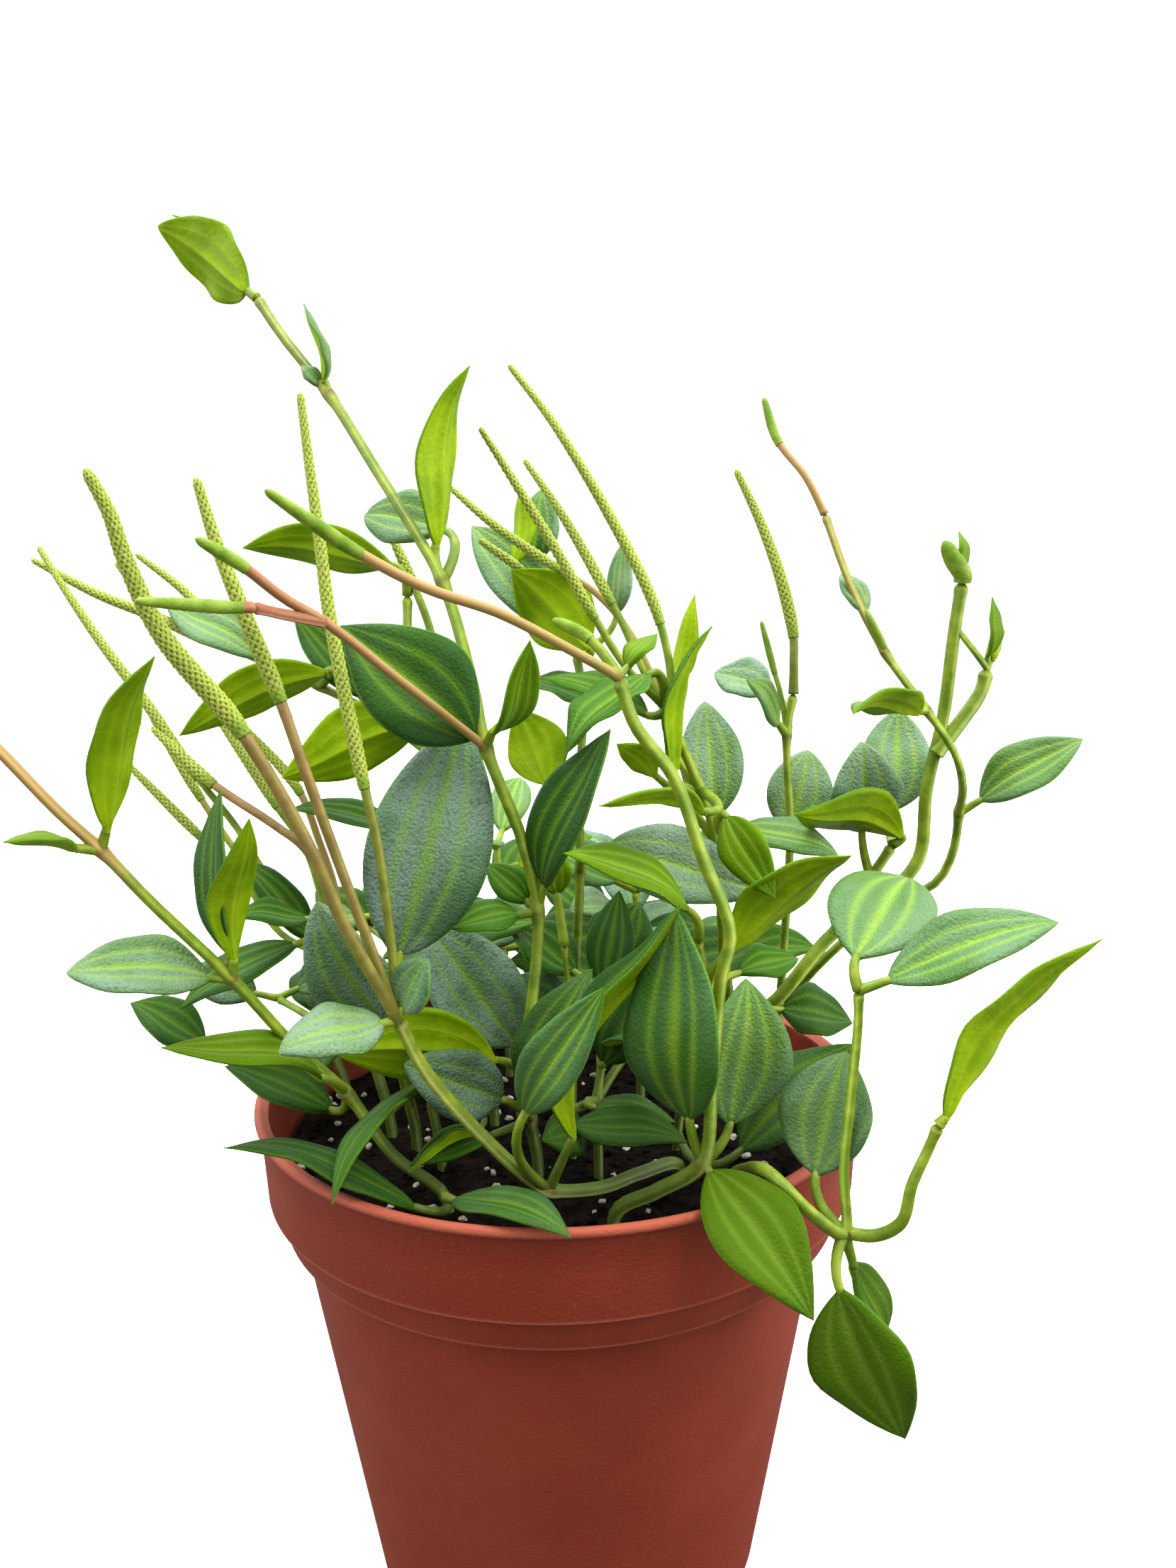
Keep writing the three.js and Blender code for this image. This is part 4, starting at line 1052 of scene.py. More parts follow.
@dataclass(frozen=True)
class PotPlastic(Finish):
    """Moulded terracotta-red plastic, satin with a fine grain, with a painted highlight along the
    top of the lip and painted light and shade lines at the steps.
    """

    sheen: Colour = (1.0, 0.42, 0.30)
    first: Colour = (0.168, 0.025, 0.012)
    second: Colour = (0.142, 0.019, 0.009)
    patches: float = 24
    grain: float = 2000
    relief: Pair = (0.28, 0.0003)
    # Painted highlight: the paler colour on top of the lip.
    lip: Colour = (0.330, 0.085, 0.050)
    # Painted highlight above each step, and also the colour of the specks of dust.
    dust_and_highlight: Colour = (0.300, 0.085, 0.055)
    # Painted shadow: the dark line just under each step.
    groove: Colour = (0.045, 0.008, 0.005)
    lip_highlight_cover: Ramp = (0.0862, 0.0874, 0.0, 0.55)
    steps: tuple[float, ...] = (0.0730, 0.0674)
    # edge places a painted highlight line just above each step, and under places a painted shadow
    # line just below it.
    edge: tuple[Ramp, Ramp] = ((0.0, 0.0002), (0.0008, 0.0003))
    step_highlight_strength: float = 0.45
    under: tuple[Ramp, Ramp] = ((-0.0010, -0.0003), (0.0001, -0.0001))
    step_shadow_strength: float = 0.75
    speck_noise: Noise = (2600.0, 2)
    speck_cover: Ramp = (0.60, 0.75, 0.0, 0.20)
    gloss_noise: float = 60.0
    gloss_change: Ramp = (0.3, 0.7, 0.48, 0.58)

    def draw(self, sketch: Sketch, effects: Effects) -> Inputs:
        """Draws the plastic's soft patches, a painted highlight along its lip, a painted highlight
        above each step with a painted shadow under it, and dusty specks.

        Args:
            sketch: The material being drawn.
            effects: The shared node groups.

        Returns:
            What goes into the shader's inputs, by their names.
        """
        height = sketch.parts(sketch.own_place())["Z"]
        # Painted highlight along the top of the lip.
        lip = sketch.span(height, *self.lip_highlight_cover)
        skin = sketch.mix(lip, self.patched(sketch, effects), self.lip)
        # Painted highlight just above each step and painted shadow just below it.
        for step in self.steps:
            above = sketch.maths("SUBTRACT", height, step)
            for (rise, fall), strength, colour in (
                (self.edge, self.step_highlight_strength, self.dust_and_highlight),
                (self.under, self.step_shadow_strength, self.groove),
            ):
                line = sketch.times(sketch.span(above, *rise), sketch.span(above, *fall))
                skin = sketch.mix(sketch.times(line, strength), skin, colour)
        specks = sketch.span(sketch.noise(*self.speck_noise), *self.speck_cover)
        skin = sketch.mix(specks, skin, self.dust_and_highlight)
        grain = sketch.effect(effects.grain, Scale=self.grain)
        normal = sketch.bump(grain["Height"], *self.relief)
        rough = sketch.span(sketch.noise(self.gloss_noise), *self.gloss_change)
        return {"Base Color": skin, "Normal": normal, "Roughness": rough}


@dataclass(frozen=True)
class SoilCrumb(Finish):
    """Dark, damp, crumbly potting mix with a few drier crumbs, darkened further as painted shade.
    """

    # Partly the damp mix's own dark colour, partly painted shade under the leaves.
    first: Colour = (0.0018, 0.0014, 0.0010)
    second: Colour = (0.0090, 0.0060, 0.0040)
    patches: float = 420
    grain: float = 900
    relief: Pair = (0.8, 0.0008)


@dataclass(frozen=True)
class Perlite(Finish):
    """Off-white perlite with soil dust on it."""

    first: Colour = (0.480, 0.460, 0.400)
    second: Colour = (0.250, 0.200, 0.150)
    patches: float = 500
    grain: float = 1600
    relief: Pair = (0.5, 0.0004)


class Finishes:
    """Every material of the object, built once."""

    def __init__(self) -> None:
        """Builds the shared effects and the materials."""
        effects = Effects()
        self.leaf_top = LeafTop("leaf_top", 0.40, 0.09, (0.80, 1.0, 0.25)).make(effects)
        self.leaf_sheened = LeafTop("leaf_sheened", 0.40, 0.25).make(effects)
        self.leaf_under = LeafUnder("leaf_underside", 0.45, 0.12).make(effects)
        self.stem = StemSkin("stem_skin", 0.42, 0.25).make(effects)
        self.spike = SpikeGrain("spike_grain", 0.55, 0.2).make(effects)
        self.pot = PotPlastic("pot_plastic", 0.5, 0.3).make(effects)
        self.soil = SoilCrumb("soil_crumb", 0.95, 0.03).make(effects)
        self.perlite = Perlite("perlite", 0.85).make(effects)


def smooth_route(route: Sequence[Point]) -> np.ndarray:
    """A smooth line through the route's points, in millimetres.

    Args:
        route: Two or more points.

    Returns:
        The line's points as an (n, 3) array, CUTS for each span and the last point.
    """
    given = np.array(route, float)
    padded = np.vstack([2 * given[0] - given[1], given, 2 * given[-1] - given[-2]])
    share = (np.arange(CUTS) / CUTS)[:, None]
    cube, square = share**3, share**2
    line = []
    for before, start, end, after in zip(padded, padded[1:], padded[2:], padded[3:]):
        sides = ((before, start), (start, end), (end, after))
        first, span, last = (math.sqrt(np.linalg.norm(b - a)) for a, b in sides)
        onward = (end - start) / span
        leave = ((start - before) / first - (end - before) / (first + span) + onward) * span
        arrive = (onward - (after - start) / (span + last) + (after - end) / last) * span
        line.append(
            (2 * cube - 3 * square + 1) * start
            + (cube - 2 * square + share) * leave
            + (3 * square - 2 * cube) * end
            + (cube - square) * arrive
        )
    return np.vstack([*line, given[-1:]])


def lengths_along(line: np.ndarray) -> np.ndarray:
    """How far each point lies along a line."""
    return np.concatenate([[0.0], np.cumsum(np.linalg.norm(np.diff(line, axis=0), axis=1))])


def points_at(line: np.ndarray, places: np.ndarray) -> np.ndarray:
    """The points of a line at given lengths along it."""
    along = lengths_along(line)
    return np.column_stack([np.interp(places, along, line[:, axis]) for axis in range(3)])


def hill(away: np.ndarray, reach: float) -> np.ndarray:
    """A soft hill, 1 where away is 0 and nearly gone at twice its reach."""
    return np.exp(-((away / reach) ** 2))


def crowded_places(total: float, count: int, spots: Iterable[float]) -> np.ndarray:
    """Places along a length that crowd together round some spots.

    Args:
        total: The whole length.
        count: How many places.
        spots: Where they crowd.

    Returns:
        The places, from 0 to the whole length.
    """
    samples, reach, more = 1200, 2.2, 7.0
    fine = np.linspace(0, total, samples)
    density = np.ones_like(fine)
    for spot in spots:
        density += more * hill(fine - spot, reach)
    filled = np.concatenate([[0.0], np.cumsum((density[1:] + density[:-1]) / 2)])
    return np.interp(np.linspace(0, filled[-1], count), filled, fine)


def set_values(piece: Piece, **values: np.ndarray | float) -> None:
    """Writes point attributes on a piece's mesh.

    Args:
        piece: The piece.
        values: Each attribute's value, as one number or one for every vertex.
    """
    count = len(piece.data.vertices)
    for name, value in values.items():
        made = piece.data.attributes.new(name, "FLOAT", "POINT")
        made.data.foreach_set("value", np.broadcast_to(np.asarray(value, np.float32), count).copy())


def copy_of(model: Piece, places: np.ndarray) -> Piece:
    """Copies a model with its own mesh.

    Args:
        model: The model.
        places: Where each vertex of the copy goes, in millimetres.

    Returns:
        The copy.
    """
    piece = model.copy()
    piece.data = model.data.copy()
    piece.data.vertices.foreach_set("co", (places * MM).astype(np.float32).ravel())
    piece.data.update()
    bpy.context.scene.collection.objects.link(piece)
    return piece


def places_of(model: Piece) -> np.ndarray:
    """Reads where a model's vertices are.

    Args:
        model: The model.

    Returns:
        An (n, 3) array.
    """
    flat = np.empty(len(model.data.vertices) * 3, np.float32)
    model.data.vertices.foreach_get("co", flat)
    return flat.reshape(-1, 3).astype(float)


@dataclass
class Column:
    """A round column, modelled once and laid along every stem, stalk or spike."""

    sides: int
    rings: int
    material: Material
    model: Piece = field(init=False)
    ring: np.ndarray = field(init=False)
    side: np.ndarray = field(init=False)

    def __post_init__(self) -> None:
        """Extrudes a disc ring by ring, and notes which ring and side each vertex is on."""
        self.model = start_disc(self.sides, 1)
        step = 1 / self.rings
        for _ in range(self.rings):
            bpy.ops.mesh.extrude_region_move(TRANSFORM_OT_translate={"value": (0, 0, step)})
        end_editing()
        bpy.ops.object.shade_smooth()
        self.model.data.materials.append(self.material)
        spots = places_of(self.model)
        self.ring = np.rint(spots[:, 2] * self.rings).astype(int)
        angle = np.arctan2(spots[:, 1], spots[:, 0])
        self.side = np.rint(angle / FULL_TURN * self.sides).astype(int) % self.sides

    def even(self, start: float, end: float) -> np.ndarray:
        """Evenly spaced values from start to end, one for each ring."""
        return np.linspace(start, end, self.rings + 1)

    def laid(self, centres: np.ndarray, radii: np.ndarray, relief: np.ndarray | float = 0) -> Piece:
        """A copy of the column along a line.

        Args:
            centres: The middle of each ring, in millimetres.
            radii: Each ring's radius.
            relief: How far each point of each ring stands out, by ring and side.

        Returns:
            The copy.
        """
        along = np.gradient(centres, axis=0)
        along /= np.linalg.norm(along, axis=1)[:, None]
        mostly_x = abs(along[0][0]) >= 0.8
        across = np.array([0.0, 1.0, 0.0]) if mostly_x else np.array([1.0, 0.0, 0.0])
        axes = []
        for way in along:
            across = across - across @ way * way
            across /= np.linalg.norm(across)
            axes.append((across, np.cross(way, across)))
        first, second = (np.array(each)[self.ring] for each in zip(*axes))
        angle = (FULL_TURN * self.side / self.sides)[:, None]
        stand_out = np.broadcast_to(relief, (self.rings + 1, self.sides))
        reach = (radii[self.ring] + stand_out[self.ring, self.side])[:, None]
        outward = reach * (first * np.cos(angle) + second * np.sin(angle))
        return copy_of(self.model, centres[self.ring] + outward)


@dataclass
class Blade:
    """The leaf blade that every leaf is a copy of: a thin shell, pointed at both ends."""

    top: Material
    frosted: Material
    under: Material
    sheened_above: float = 0.25
    columns: int = 16
    rows: int = 26
    crowd: float = 1.35
    least_share: float = 0.02
    shell: float = 0.05
    thick: float = 0.85
    edge_thinning: float = 0.55
    least_thick: float = 0.25
    full_thick_at: float = 1.5
    crease: float = 0.8
    arch: float = 0.09
    shift: float = 0.85
    fullness: float = 0.95
    bluntness: float = 0.34
    neck: Pair = (0.55, 0.08)
    least_half: float = 0.03
    groove: float = 0.42
    full_groove_at: float = 5
    rib: float = 0.55
    rib_reach: float = 0.7
    rib_end: float = 1.05
    rib_fall: float = 1.2
    veins: tuple[Pair, ...] = ((0.0, 1.0), (0.46, 0.7))
    vein_reach: float = 0.17
    wave_height: Pair = (0.03, 0.09)
    waves: Pair = (1.6, 2.6)
    curl: Pair = (0.05, 0.2)
    bends: float = 0.04
    turns: float = 0.16
    tone_change: float = 0.06
    sky_sheen_change: Pair = (0.85, 1.1)
    rough_width: float = 11
    roughness: Pair = (0.5, 0.7)
    model: Piece = field(init=False)
    across: np.ndarray = field(init=False)
    along: np.ndarray = field(init=False)
    below: np.ndarray = field(init=False)

    def outline(self, share: np.ndarray) -> np.ndarray:
        """Half the blade's width along its length, as a share of the greatest half width."""
        inner = np.clip(share, 0.0, 1.0) ** self.shift
        return np.clip(np.sin(math.pi * inner), 0.0, 1.0) ** self.fullness

    def __post_init__(self) -> None:
        """Shapes the blade row by row, gives it its thickness and notes where each vertex lies."""
        clear_selection()
        bpy.ops.mesh.primitive_grid_add(
            x_subdivisions=self.columns, y_subdivisions=self.rows, size=1
        )
        self.model = bpy.context.object
        bpy.ops.object.mode_set(mode="EDIT")
        mesh = bmesh.from_edit_mesh(self.model.data)
        for row in range(self.rows + 1):
            bpy.ops.mesh.select_all(action="DESELECT")
            mesh.verts.ensure_lookup_table()
            height = row / self.rows - 0.5
            start = row * (self.columns + 1)
            for vertex in mesh.verts[start : start + self.columns + 1]:
                vertex.select = True
            mesh.select_flush(True)
            share = 0.5 - 0.5 * math.cos(math.pi * row / self.rows)
            wide = max(float(self.outline(np.array(share))), self.least_share)
            bpy.ops.transform.resize(value=(wide, 1, 1), center_override=(0, height, 0))
            bpy.ops.transform.translate(value=(0, share - height, 0))
        bpy.ops.object.mode_set(mode="OBJECT")
        self.model.data.materials.append(self.top)
        self.model.data.materials.append(self.under)
        change(
            self.model, "SOLIDIFY", thickness=self.shell, offset=-1,
            material_offset=1, material_offset_rim=0,
        )
        bpy.ops.object.shade_smooth()
        self._note_places()

    def _note_places(self) -> None:
        """Reads each vertex's place across and along the blade, and sets the UV map by it."""
        mesh, spots = self.model.data, places_of(self.model)
        self.below = spots[:, 2] < -self.shell / 5
        self.along = np.clip(spots[:, 1], 0, 1)
        wide = np.maximum(self.outline(self.along), self.least_share)
        even = np.clip(2 * spots[:, 0] / wide, -1, 1)
        self.across = np.sign(even) * np.abs(even) ** self.crowd
        loops = np.empty(len(mesh.loops), np.int32)
        mesh.loops.foreach_get("vertex_index", loops)
        places = np.column_stack([0.5 + 0.5 * self.across[loops], self.along[loops]])
        mesh.uv_layers.active.data.foreach_set("uv", places.astype(np.float32).ravel())

    def half_width(self, leaf: Leaf) -> np.ndarray:
        """Half a leaf's width at each vertex, in millimetres.

        Args:
            leaf: The leaf.

        Returns:
            One value for each vertex.
        """
        rounding = self.bluntness * max(leaf.look.value[1], leaf.blunt)
        neck_half, neck_end = self.neck
        half = leaf.width / 2 * self.outline(self.along) ** (1 - rounding)
        half = np.maximum(half, neck_half * np.clip(1 - self.along / neck_end, 0, 1))
        return np.maximum(half, self.least_half)

    def laid(self, leaf: Leaf, base: np.ndarray, chance: random.Random) -> Piece:
        """A copy of the blade for one leaf, from its base to its tip.

        Args:
            leaf: The leaf.
            base: Where its blade starts.
            chance: The source of small differences.

        Returns:
            The copy.
        """
        tip = np.array(leaf.tip, float)
        length = float(np.linalg.norm(tip - base))
        way = (tip - base) / length
        up = np.array(leaf.face, float)
        up -= up @ way * way
        up /= np.linalg.norm(up)
        side = np.cross(way, up)
        share, across = self.along, self.across
        away = np.abs(across)
        half = self.half_width(leaf)
        spread = half * across
        wave = chance.uniform(*self.wave_height) * half * away**2
        waves = chance.uniform(*self.waves) * share
        waves = waves + np.where(across > 0, chance.random(), chance.random())
        wave = wave * np.sin(FULL_TURN * waves)
        raised = math.sin(leaf.fold) * (np.sqrt(spread**2 + self.crease**2) - self.crease)
        raised = raised - chance.uniform(*self.curl) * half * away**4
        deep = self.groove * np.clip(half / self.full_groove_at, 0, 1)
        for place, strength in self.veins:
            raised = raised - deep * strength * hill(away - place, self.vein_reach)
        arch = self.arch * length * 4 * share * (1 - share)
        bend = chance.uniform(-self.bends, self.bends) * length * np.sin(FULL_TURN * share)
        thick = self.thick * (1 - self.edge_thinning * away**6)
        thick = thick * np.clip(half / self.full_thick_at, self.least_thick, 1)
        fading = np.clip(self.rib_end - share, 0, 1) ** self.rib_fall
        rib = self.rib * fading * hill(spread, self.rib_reach)
        level = raised + wave + np.where(self.below, -thick / 2 - rib, thick / 2)
        turn = chance.uniform(-self.turns, self.turns) * share
        sideways = spread * math.cos(leaf.fold)
        middle = base + np.outer(share * length, way) + np.outer(arch + bend, up)
        out = np.outer(sideways * np.cos(turn) - level * np.sin(turn), side)
        rise = np.outer(sideways * np.sin(turn) + level * np.cos(turn), up)
        piece = copy_of(self.model, middle + out + rise)
        # The look's second value sets how much painted sky sheen the leaf top's colour gets, and
        # picks the glossier leaf top.
        tone, frost, stripe = leaf.look.value
        plain, frosted = self.roughness
        if frost > self.sheened_above:
            piece.data.materials[0] = self.frosted
        set_values(
            piece,
            tone=tone + chance.uniform(-self.tone_change, self.tone_change),
            frost=frost * chance.uniform(*self.sky_sheen_change),
            stripe=stripe,
            rough=min(leaf.width / self.rough_width, 1.0) ** 2 * (plain + frosted * frost),
        )
        return piece


@dataclass
class Shoots:
    """Every leafy shoot, built from one blade and a few columns."""

    finishes: Finishes
    taper: float = 0.75
    swell: float = 0.32
    swell_reach: float = 1.5
    scar_reach: float = 0.45
    stem_end: float = 0.04
    stalk_radius: float = 0.72
    stalk_bend: float = 0.45
    stalk_overlap: float = 0.6
    stalk_taper: Pair = (1.2, 0.35)
    stalk_blush: float = 0.02
    peduncle_share: float = 0.36
    peduncle_foot: Pair = (0.25, 1.5)
    peduncle_blush: Pair = (0.75, 1.3)
    brown: float = 0.6
    brown_above: float = 1.85
    spike_overlap: float = 0.8
    spike_foot: Pair = (0.84, 0.86)
    foot_length: float = 20
    spike_end: float = 0.985
    spike_taper: float = 0.48
    ripens_over: float = 2.5
    ripens_before: float = 0.4
    grain_pitch: float = 1.1
    grain_height: float = 0.13
    young_height: float = 0.02
    slim_below: float = 2.3

    def __post_init__(self) -> None:
        """Models what the shoots repeat."""
        finishes = self.finishes
        self.blade = Blade(finishes.leaf_top, finishes.leaf_sheened, finishes.leaf_under)
        self.stem_column = Column(10, 90, finishes.stem)
        self.stalk_column = Column(8, 8, finishes.stem)
        self.peduncle_column = Column(8, 24, finishes.stem)
        self.thick_spike = Column(36, 230, finishes.spike)
        self.slim_spike = Column(24, 200, finishes.spike)

    def build(self) -> None:
        """Builds one piece for each shoot and removes the models."""
        paired = {name: [plan.stem()] for name, plan in PAIRED_SHOOTS.items()}
        for name, stems in (SHOOTS | paired).items():
            self.shoot(name, stems)
        for shape in (self.blade, self.stem_column, self.stalk_column, self.peduncle_column,
                      self.thick_spike, self.slim_spike):
            bpy.data.objects.remove(shape.model)

    def shoot(self, name: str, stems: Sequence[Stem]) -> None:
        """Builds one shoot with all that grows on it, in place of its node.

        Args:
            name: The node that it stands for.
            stems: Its stems, the rooted one first.
        """
        chance = random.Random(name)
        parts = []
        for stem in stems:
            parts.append(self.stem(stem))
            for leaf in stem.leaves:
                parts += self.leaf(leaf, stem, chance)
            for spike in stem.spikes:
                parts += self.spike(spike, stem, chance)
        piece = join_pieces(parts, name.replace("_shoot", "_plant_shoot"))
        settle(piece, FOLIAGE, name)

    def stem(self, stem: Stem) -> Piece:
        """A stem's own skin, swollen and scarred at its joints.

        Args:
            stem: The stem.

        Returns:
            Its skin.
        """
        column = self.stem_column
        line = smooth_route(stem.route)
        along = lengths_along(line)
        total = along[-1]
        bearing = {part.joint for part in (*stem.leaves, *stem.spikes)} - {0, 1}
        spots = [along[CUTS * joint] for joint in sorted(bearing)]
        places = crowded_places(total, column.rings + 1, spots)
        radii = stem.thick / 2 * (1 - (1 - self.taper) * places / total)
        scar = np.zeros_like(places)
        for spot in spots:
            near = np.abs(places - spot)
            radii *= 1 + self.swell * hill(near, self.swell_reach)
            scar = np.maximum(scar, hill(near, self.scar_reach))
        radii *= np.sqrt(np.clip((total - places) / radii, self.stem_end, 1))
        piece = column.laid(points_at(line, places), radii)
        joints = [along[CUTS * joint] for joint, _ in stem.blush]
        blush = np.interp(places, joints, [amount for _, amount in stem.blush])
        set_values(piece, blush=blush[column.ring], scar=scar[column.ring])
        return piece

    def leaf(self, leaf: Leaf, stem: Stem, chance: random.Random) -> list[Piece]:
        """A leaf's blade and its stalk.

        Args:
            leaf: The leaf.
            stem: The stem that it grows on.
            chance: The source of small differences.

        Returns:
            The blade and the stalk.
        """
        root = np.array(stem.route[leaf.joint], float)
        tip = np.array(leaf.tip, float)
        if isinstance(leaf.stalk, tuple):
            base = np.array(leaf.stalk, float)
        else:
            base = root + (tip - root) / np.linalg.norm(tip - root) * leaf.stalk
        way = (tip - base) / np.linalg.norm(tip - base)
        bend = base - way * float(np.linalg.norm(base - root)) * self.stalk_bend
        end = base + way * self.stalk_overlap
        share = self.stalk_column.even(0, 1)[:, None]
        centres = (1 - share) ** 2 * root + 2 * share * (1 - share) * bend + share**2 * end
        start_share, narrowing = self.stalk_taper
        slender = min(self.stalk_radius, leaf.width / 8)
        stalk = self.stalk_column.laid(centres, slender * (start_share - narrowing * share[:, 0]))
        set_values(stalk, blush=self.stalk_blush, scar=0.0)
        return [self.blade.laid(leaf, base, chance), stalk]

    def spike(self, spike: Spike, stem: Stem, chance: random.Random) -> list[Piece]:
        """A flower spike with its peduncle.

        Args:
            spike: The spike.
            stem: The stem that it grows on.
            chance: The source of small differences.

        Returns:
            The peduncle and the grainy part.
        """
        line = smooth_route([stem.route[spike.joint], *spike.peduncle, *spike.grain])
        along = lengths_along(line)
        start, total = along[CUTS * (1 + len(spike.peduncle))], along[-1]
        bare = self.peduncle_column.even(0, start)
        swell, reach = self.peduncle_foot
        radii = spike.thick * self.peduncle_share * (1 + swell * np.exp(-bare / reach))
        peduncle = self.peduncle_column.laid(points_at(line, bare), radii)
        blush = spike.blush * self.peduncle_column.even(*self.peduncle_blush)
        brown = self.brown if spike.ripe and spike.thick > self.brown_above else 0.0
        set_values(peduncle, blush=blush[self.peduncle_column.ring], scar=brown)

        column = self.slim_spike if spike.thick < self.slim_below else self.thick_spike
        places = column.even(start - self.spike_overlap, total)
        beyond, thick = places - start, spike.thick / 2
        least, foot = self.spike_foot
        radii = thick * np.clip(foot + beyond / self.foot_length, least, 1)
        radii *= 1 - self.spike_taper * np.clip(beyond / (total - start), 0, 1) ** 2
        radii *= np.sqrt(1 - np.clip(1 - (total - places) / thick, 0, self.spike_end) ** 2)
        turn = FULL_TURN * np.arange(column.sides) / column.sides
        phase = chance.random() * FULL_TURN
        rows = np.cos(FULL_TURN * places[:, None] / self.grain_pitch + phase)
        wave = np.cos(column.sides / 4 * turn[None, :]) * rows
        high = self.grain_height if spike.ripe else self.young_height
        relief = high * wave * np.clip(radii / thick, 0, 1)[:, None]
        piece = column.laid(points_at(line, places), radii, relief)
        ripening = np.clip((beyond + self.ripens_before) / self.ripens_over, 0, 1)
        ripeness = float(spike.ripe) * ripening
        even_relief = (0.5 + 0.5 * wave)[column.ring, column.side]
        set_values(piece, relief=even_relief, ripeness=ripeness[column.ring])
        return [peduncle, piece]


@dataclass
class Pot:
    """The nursery pot: a tapered body with two stepped bands and a rolled lip."""

    finish: Material
    height: float = 88
    lip_radius: float = 52.5
    lip_roll: float = 1.6
    upper_band: tuple[float, float, float] = (51.7, 50.9, 73)
    lower_band: tuple[float, float, float] = (49.6, 48.4, 67.4)
    body_top: float = 46
    foot_radius: float = 34.8
    chamfer: float = 1.2
    wall: float = 1.5
    floor: float = 2
    ease: float = 0.4
    sides: int = 144
    smooth_below: float = 38
    drains: int = 6
    drain_ring: float = 24
    drain_radius: float = 4
    drain_sides: int = 32

    def profile(self) -> list[Pair]:
        """The wall's section, up the outside and down the inside.

        Returns:
            Its points as (radius, height), in millimetres.
        """
        upper_top, upper_bottom, upper_step = self.upper_band
        lower_top, lower_bottom, lower_step = self.lower_band
        roll, ease = self.lip_roll / 2, self.ease
        foot = [
            (self.foot_radius - self.chamfer * (1 - math.sin(a)), self.chamfer * (1 - math.cos(a)))
            for a in np.linspace(0, math.pi / 2, 6)
        ]
        body = [
            (np.interp(z, (self.chamfer, lower_step), (self.foot_radius, self.body_top)), z)
            for z in np.linspace(8, lower_step - 0.8, 8)
        ]
        lip = [
            (self.lip_radius - roll + roll * math.cos(a), self.height - roll + roll * math.sin(a))
            for a in np.radians(np.linspace(-70, 120, 10))
        ]
        return [
            *foot,
            *body,
            (self.body_top, lower_step),
            (lower_bottom - 0.25, lower_step + 0.1),
            (lower_bottom - 0.06, lower_step + 0.2),
            (lower_bottom, lower_step + ease),
            (lower_top, upper_step - 0.5),
            (lower_top, upper_step),
            (upper_bottom - 0.2, upper_step + 0.05),
            (upper_bottom - 0.05, upper_step + 0.15),
            (upper_bottom, upper_step + ease),
            ((upper_bottom + upper_top) / 2, (upper_step + self.height) / 2),
            (upper_top, self.height - self.lip_roll - ease),
            *lip,
            (upper_top - self.wall, self.height - ease * 2),
            (lower_top - self.wall, upper_step),
            (self.body_top - self.wall, lower_step),
            (self.foot_radius - self.wall, self.floor),
        ]

    def build(self) -> None:
        """Raises the wall ring by ring from the foot's disc and cuts the drain holes."""
        wall = [(r * MM, z * MM) for r, z in self.profile()]
        pot = start_disc(self.sides, *wall[0])
        grow_rings(bpy.ops.mesh.extrude_region_move, wall)
        end_editing()
        for turn in range(self.drains):
            self.cut_drain(pot, FULL_TURN * turn / self.drains)
        bpy.ops.object.shade_smooth_by_angle(angle=math.radians(self.smooth_below))
        pot.data.materials.clear()
        pot.data.materials.append(self.finish)
        settle(name_piece(pot, "nursery_pot"), PLASTIC, "pot")

    def cut_drain(self, pot: Piece, angle: float) -> None:
        """Cuts one drain hole through the floor.

        Args:
            pot: The pot.
            angle: Where the hole is, round the pot's axis.
        """
        clear_selection()
        ring = self.drain_ring * MM
        bpy.ops.mesh.primitive_cylinder_add(
            vertices=self.drain_sides,
            radius=self.drain_radius * MM,
            depth=3 * self.floor * MM,
            location=(ring * math.cos(angle), ring * math.sin(angle), self.floor * MM / 2),
        )
        cutter = bpy.context.object
        pick(pot)
        change(pot, "BOOLEAN", operation="DIFFERENCE", object=cutter, solver="EXACT")
        bpy.data.objects.remove(cutter)


@dataclass(frozen=True)
class Lumps:
    """Small lumps of one kind: how many, how finely modelled, how large and how flat."""

    name: str
    material: Material
    count: int
    detail: int
    sizes: Pair
    flat: float
    uneven: Pair = (0.75, 1.25)
    sunk: float = 0.3
    margin: float = 2

    def strewn(self, surface: np.ndarray, radius: float, seed: int) -> Piece:
        """Strews the lumps over a surface.

        Args:
            surface: The surface's points, in millimetres.
            radius: How far out it goes.
            seed: Which of the possible arrangements is made.

        Returns:
            The lumps as one piece.
        """
        chance = random.Random(seed + self.count)
        clear_selection()
        bpy.ops.mesh.primitive_ico_sphere_add(subdivisions=self.detail, radius=1)
        lump = bpy.context.object
        lump.data.materials.append(self.material)
        shape = places_of(lump)
        pieces = []
        for _ in range(self.count):
            spot = surface[chance.randrange(len(surface))]
            size = chance.uniform(*self.sizes) * chance.uniform(0.6, 1.0)
            rough = np.array([[chance.uniform(*self.uneven)] for _ in shape])
            sizes = np.array([size, size * chance.uniform(0.6, 1), size * self.flat])
            turn = np.array(Matrix.Rotation(chance.uniform(0, 6.28), 3, "Z"))
            keep = min(1.0, (radius - self.margin) / max(np.hypot(*spot[:2]), 1))
            place = np.array([spot[0] * keep, spot[1] * keep, spot[2] + self.sunk * size])
            pieces.append(copy_of(lump, shape * rough * sizes @ turn.T + place))
        bpy.data.objects.remove(lump)
        return join_pieces(pieces, self.name)


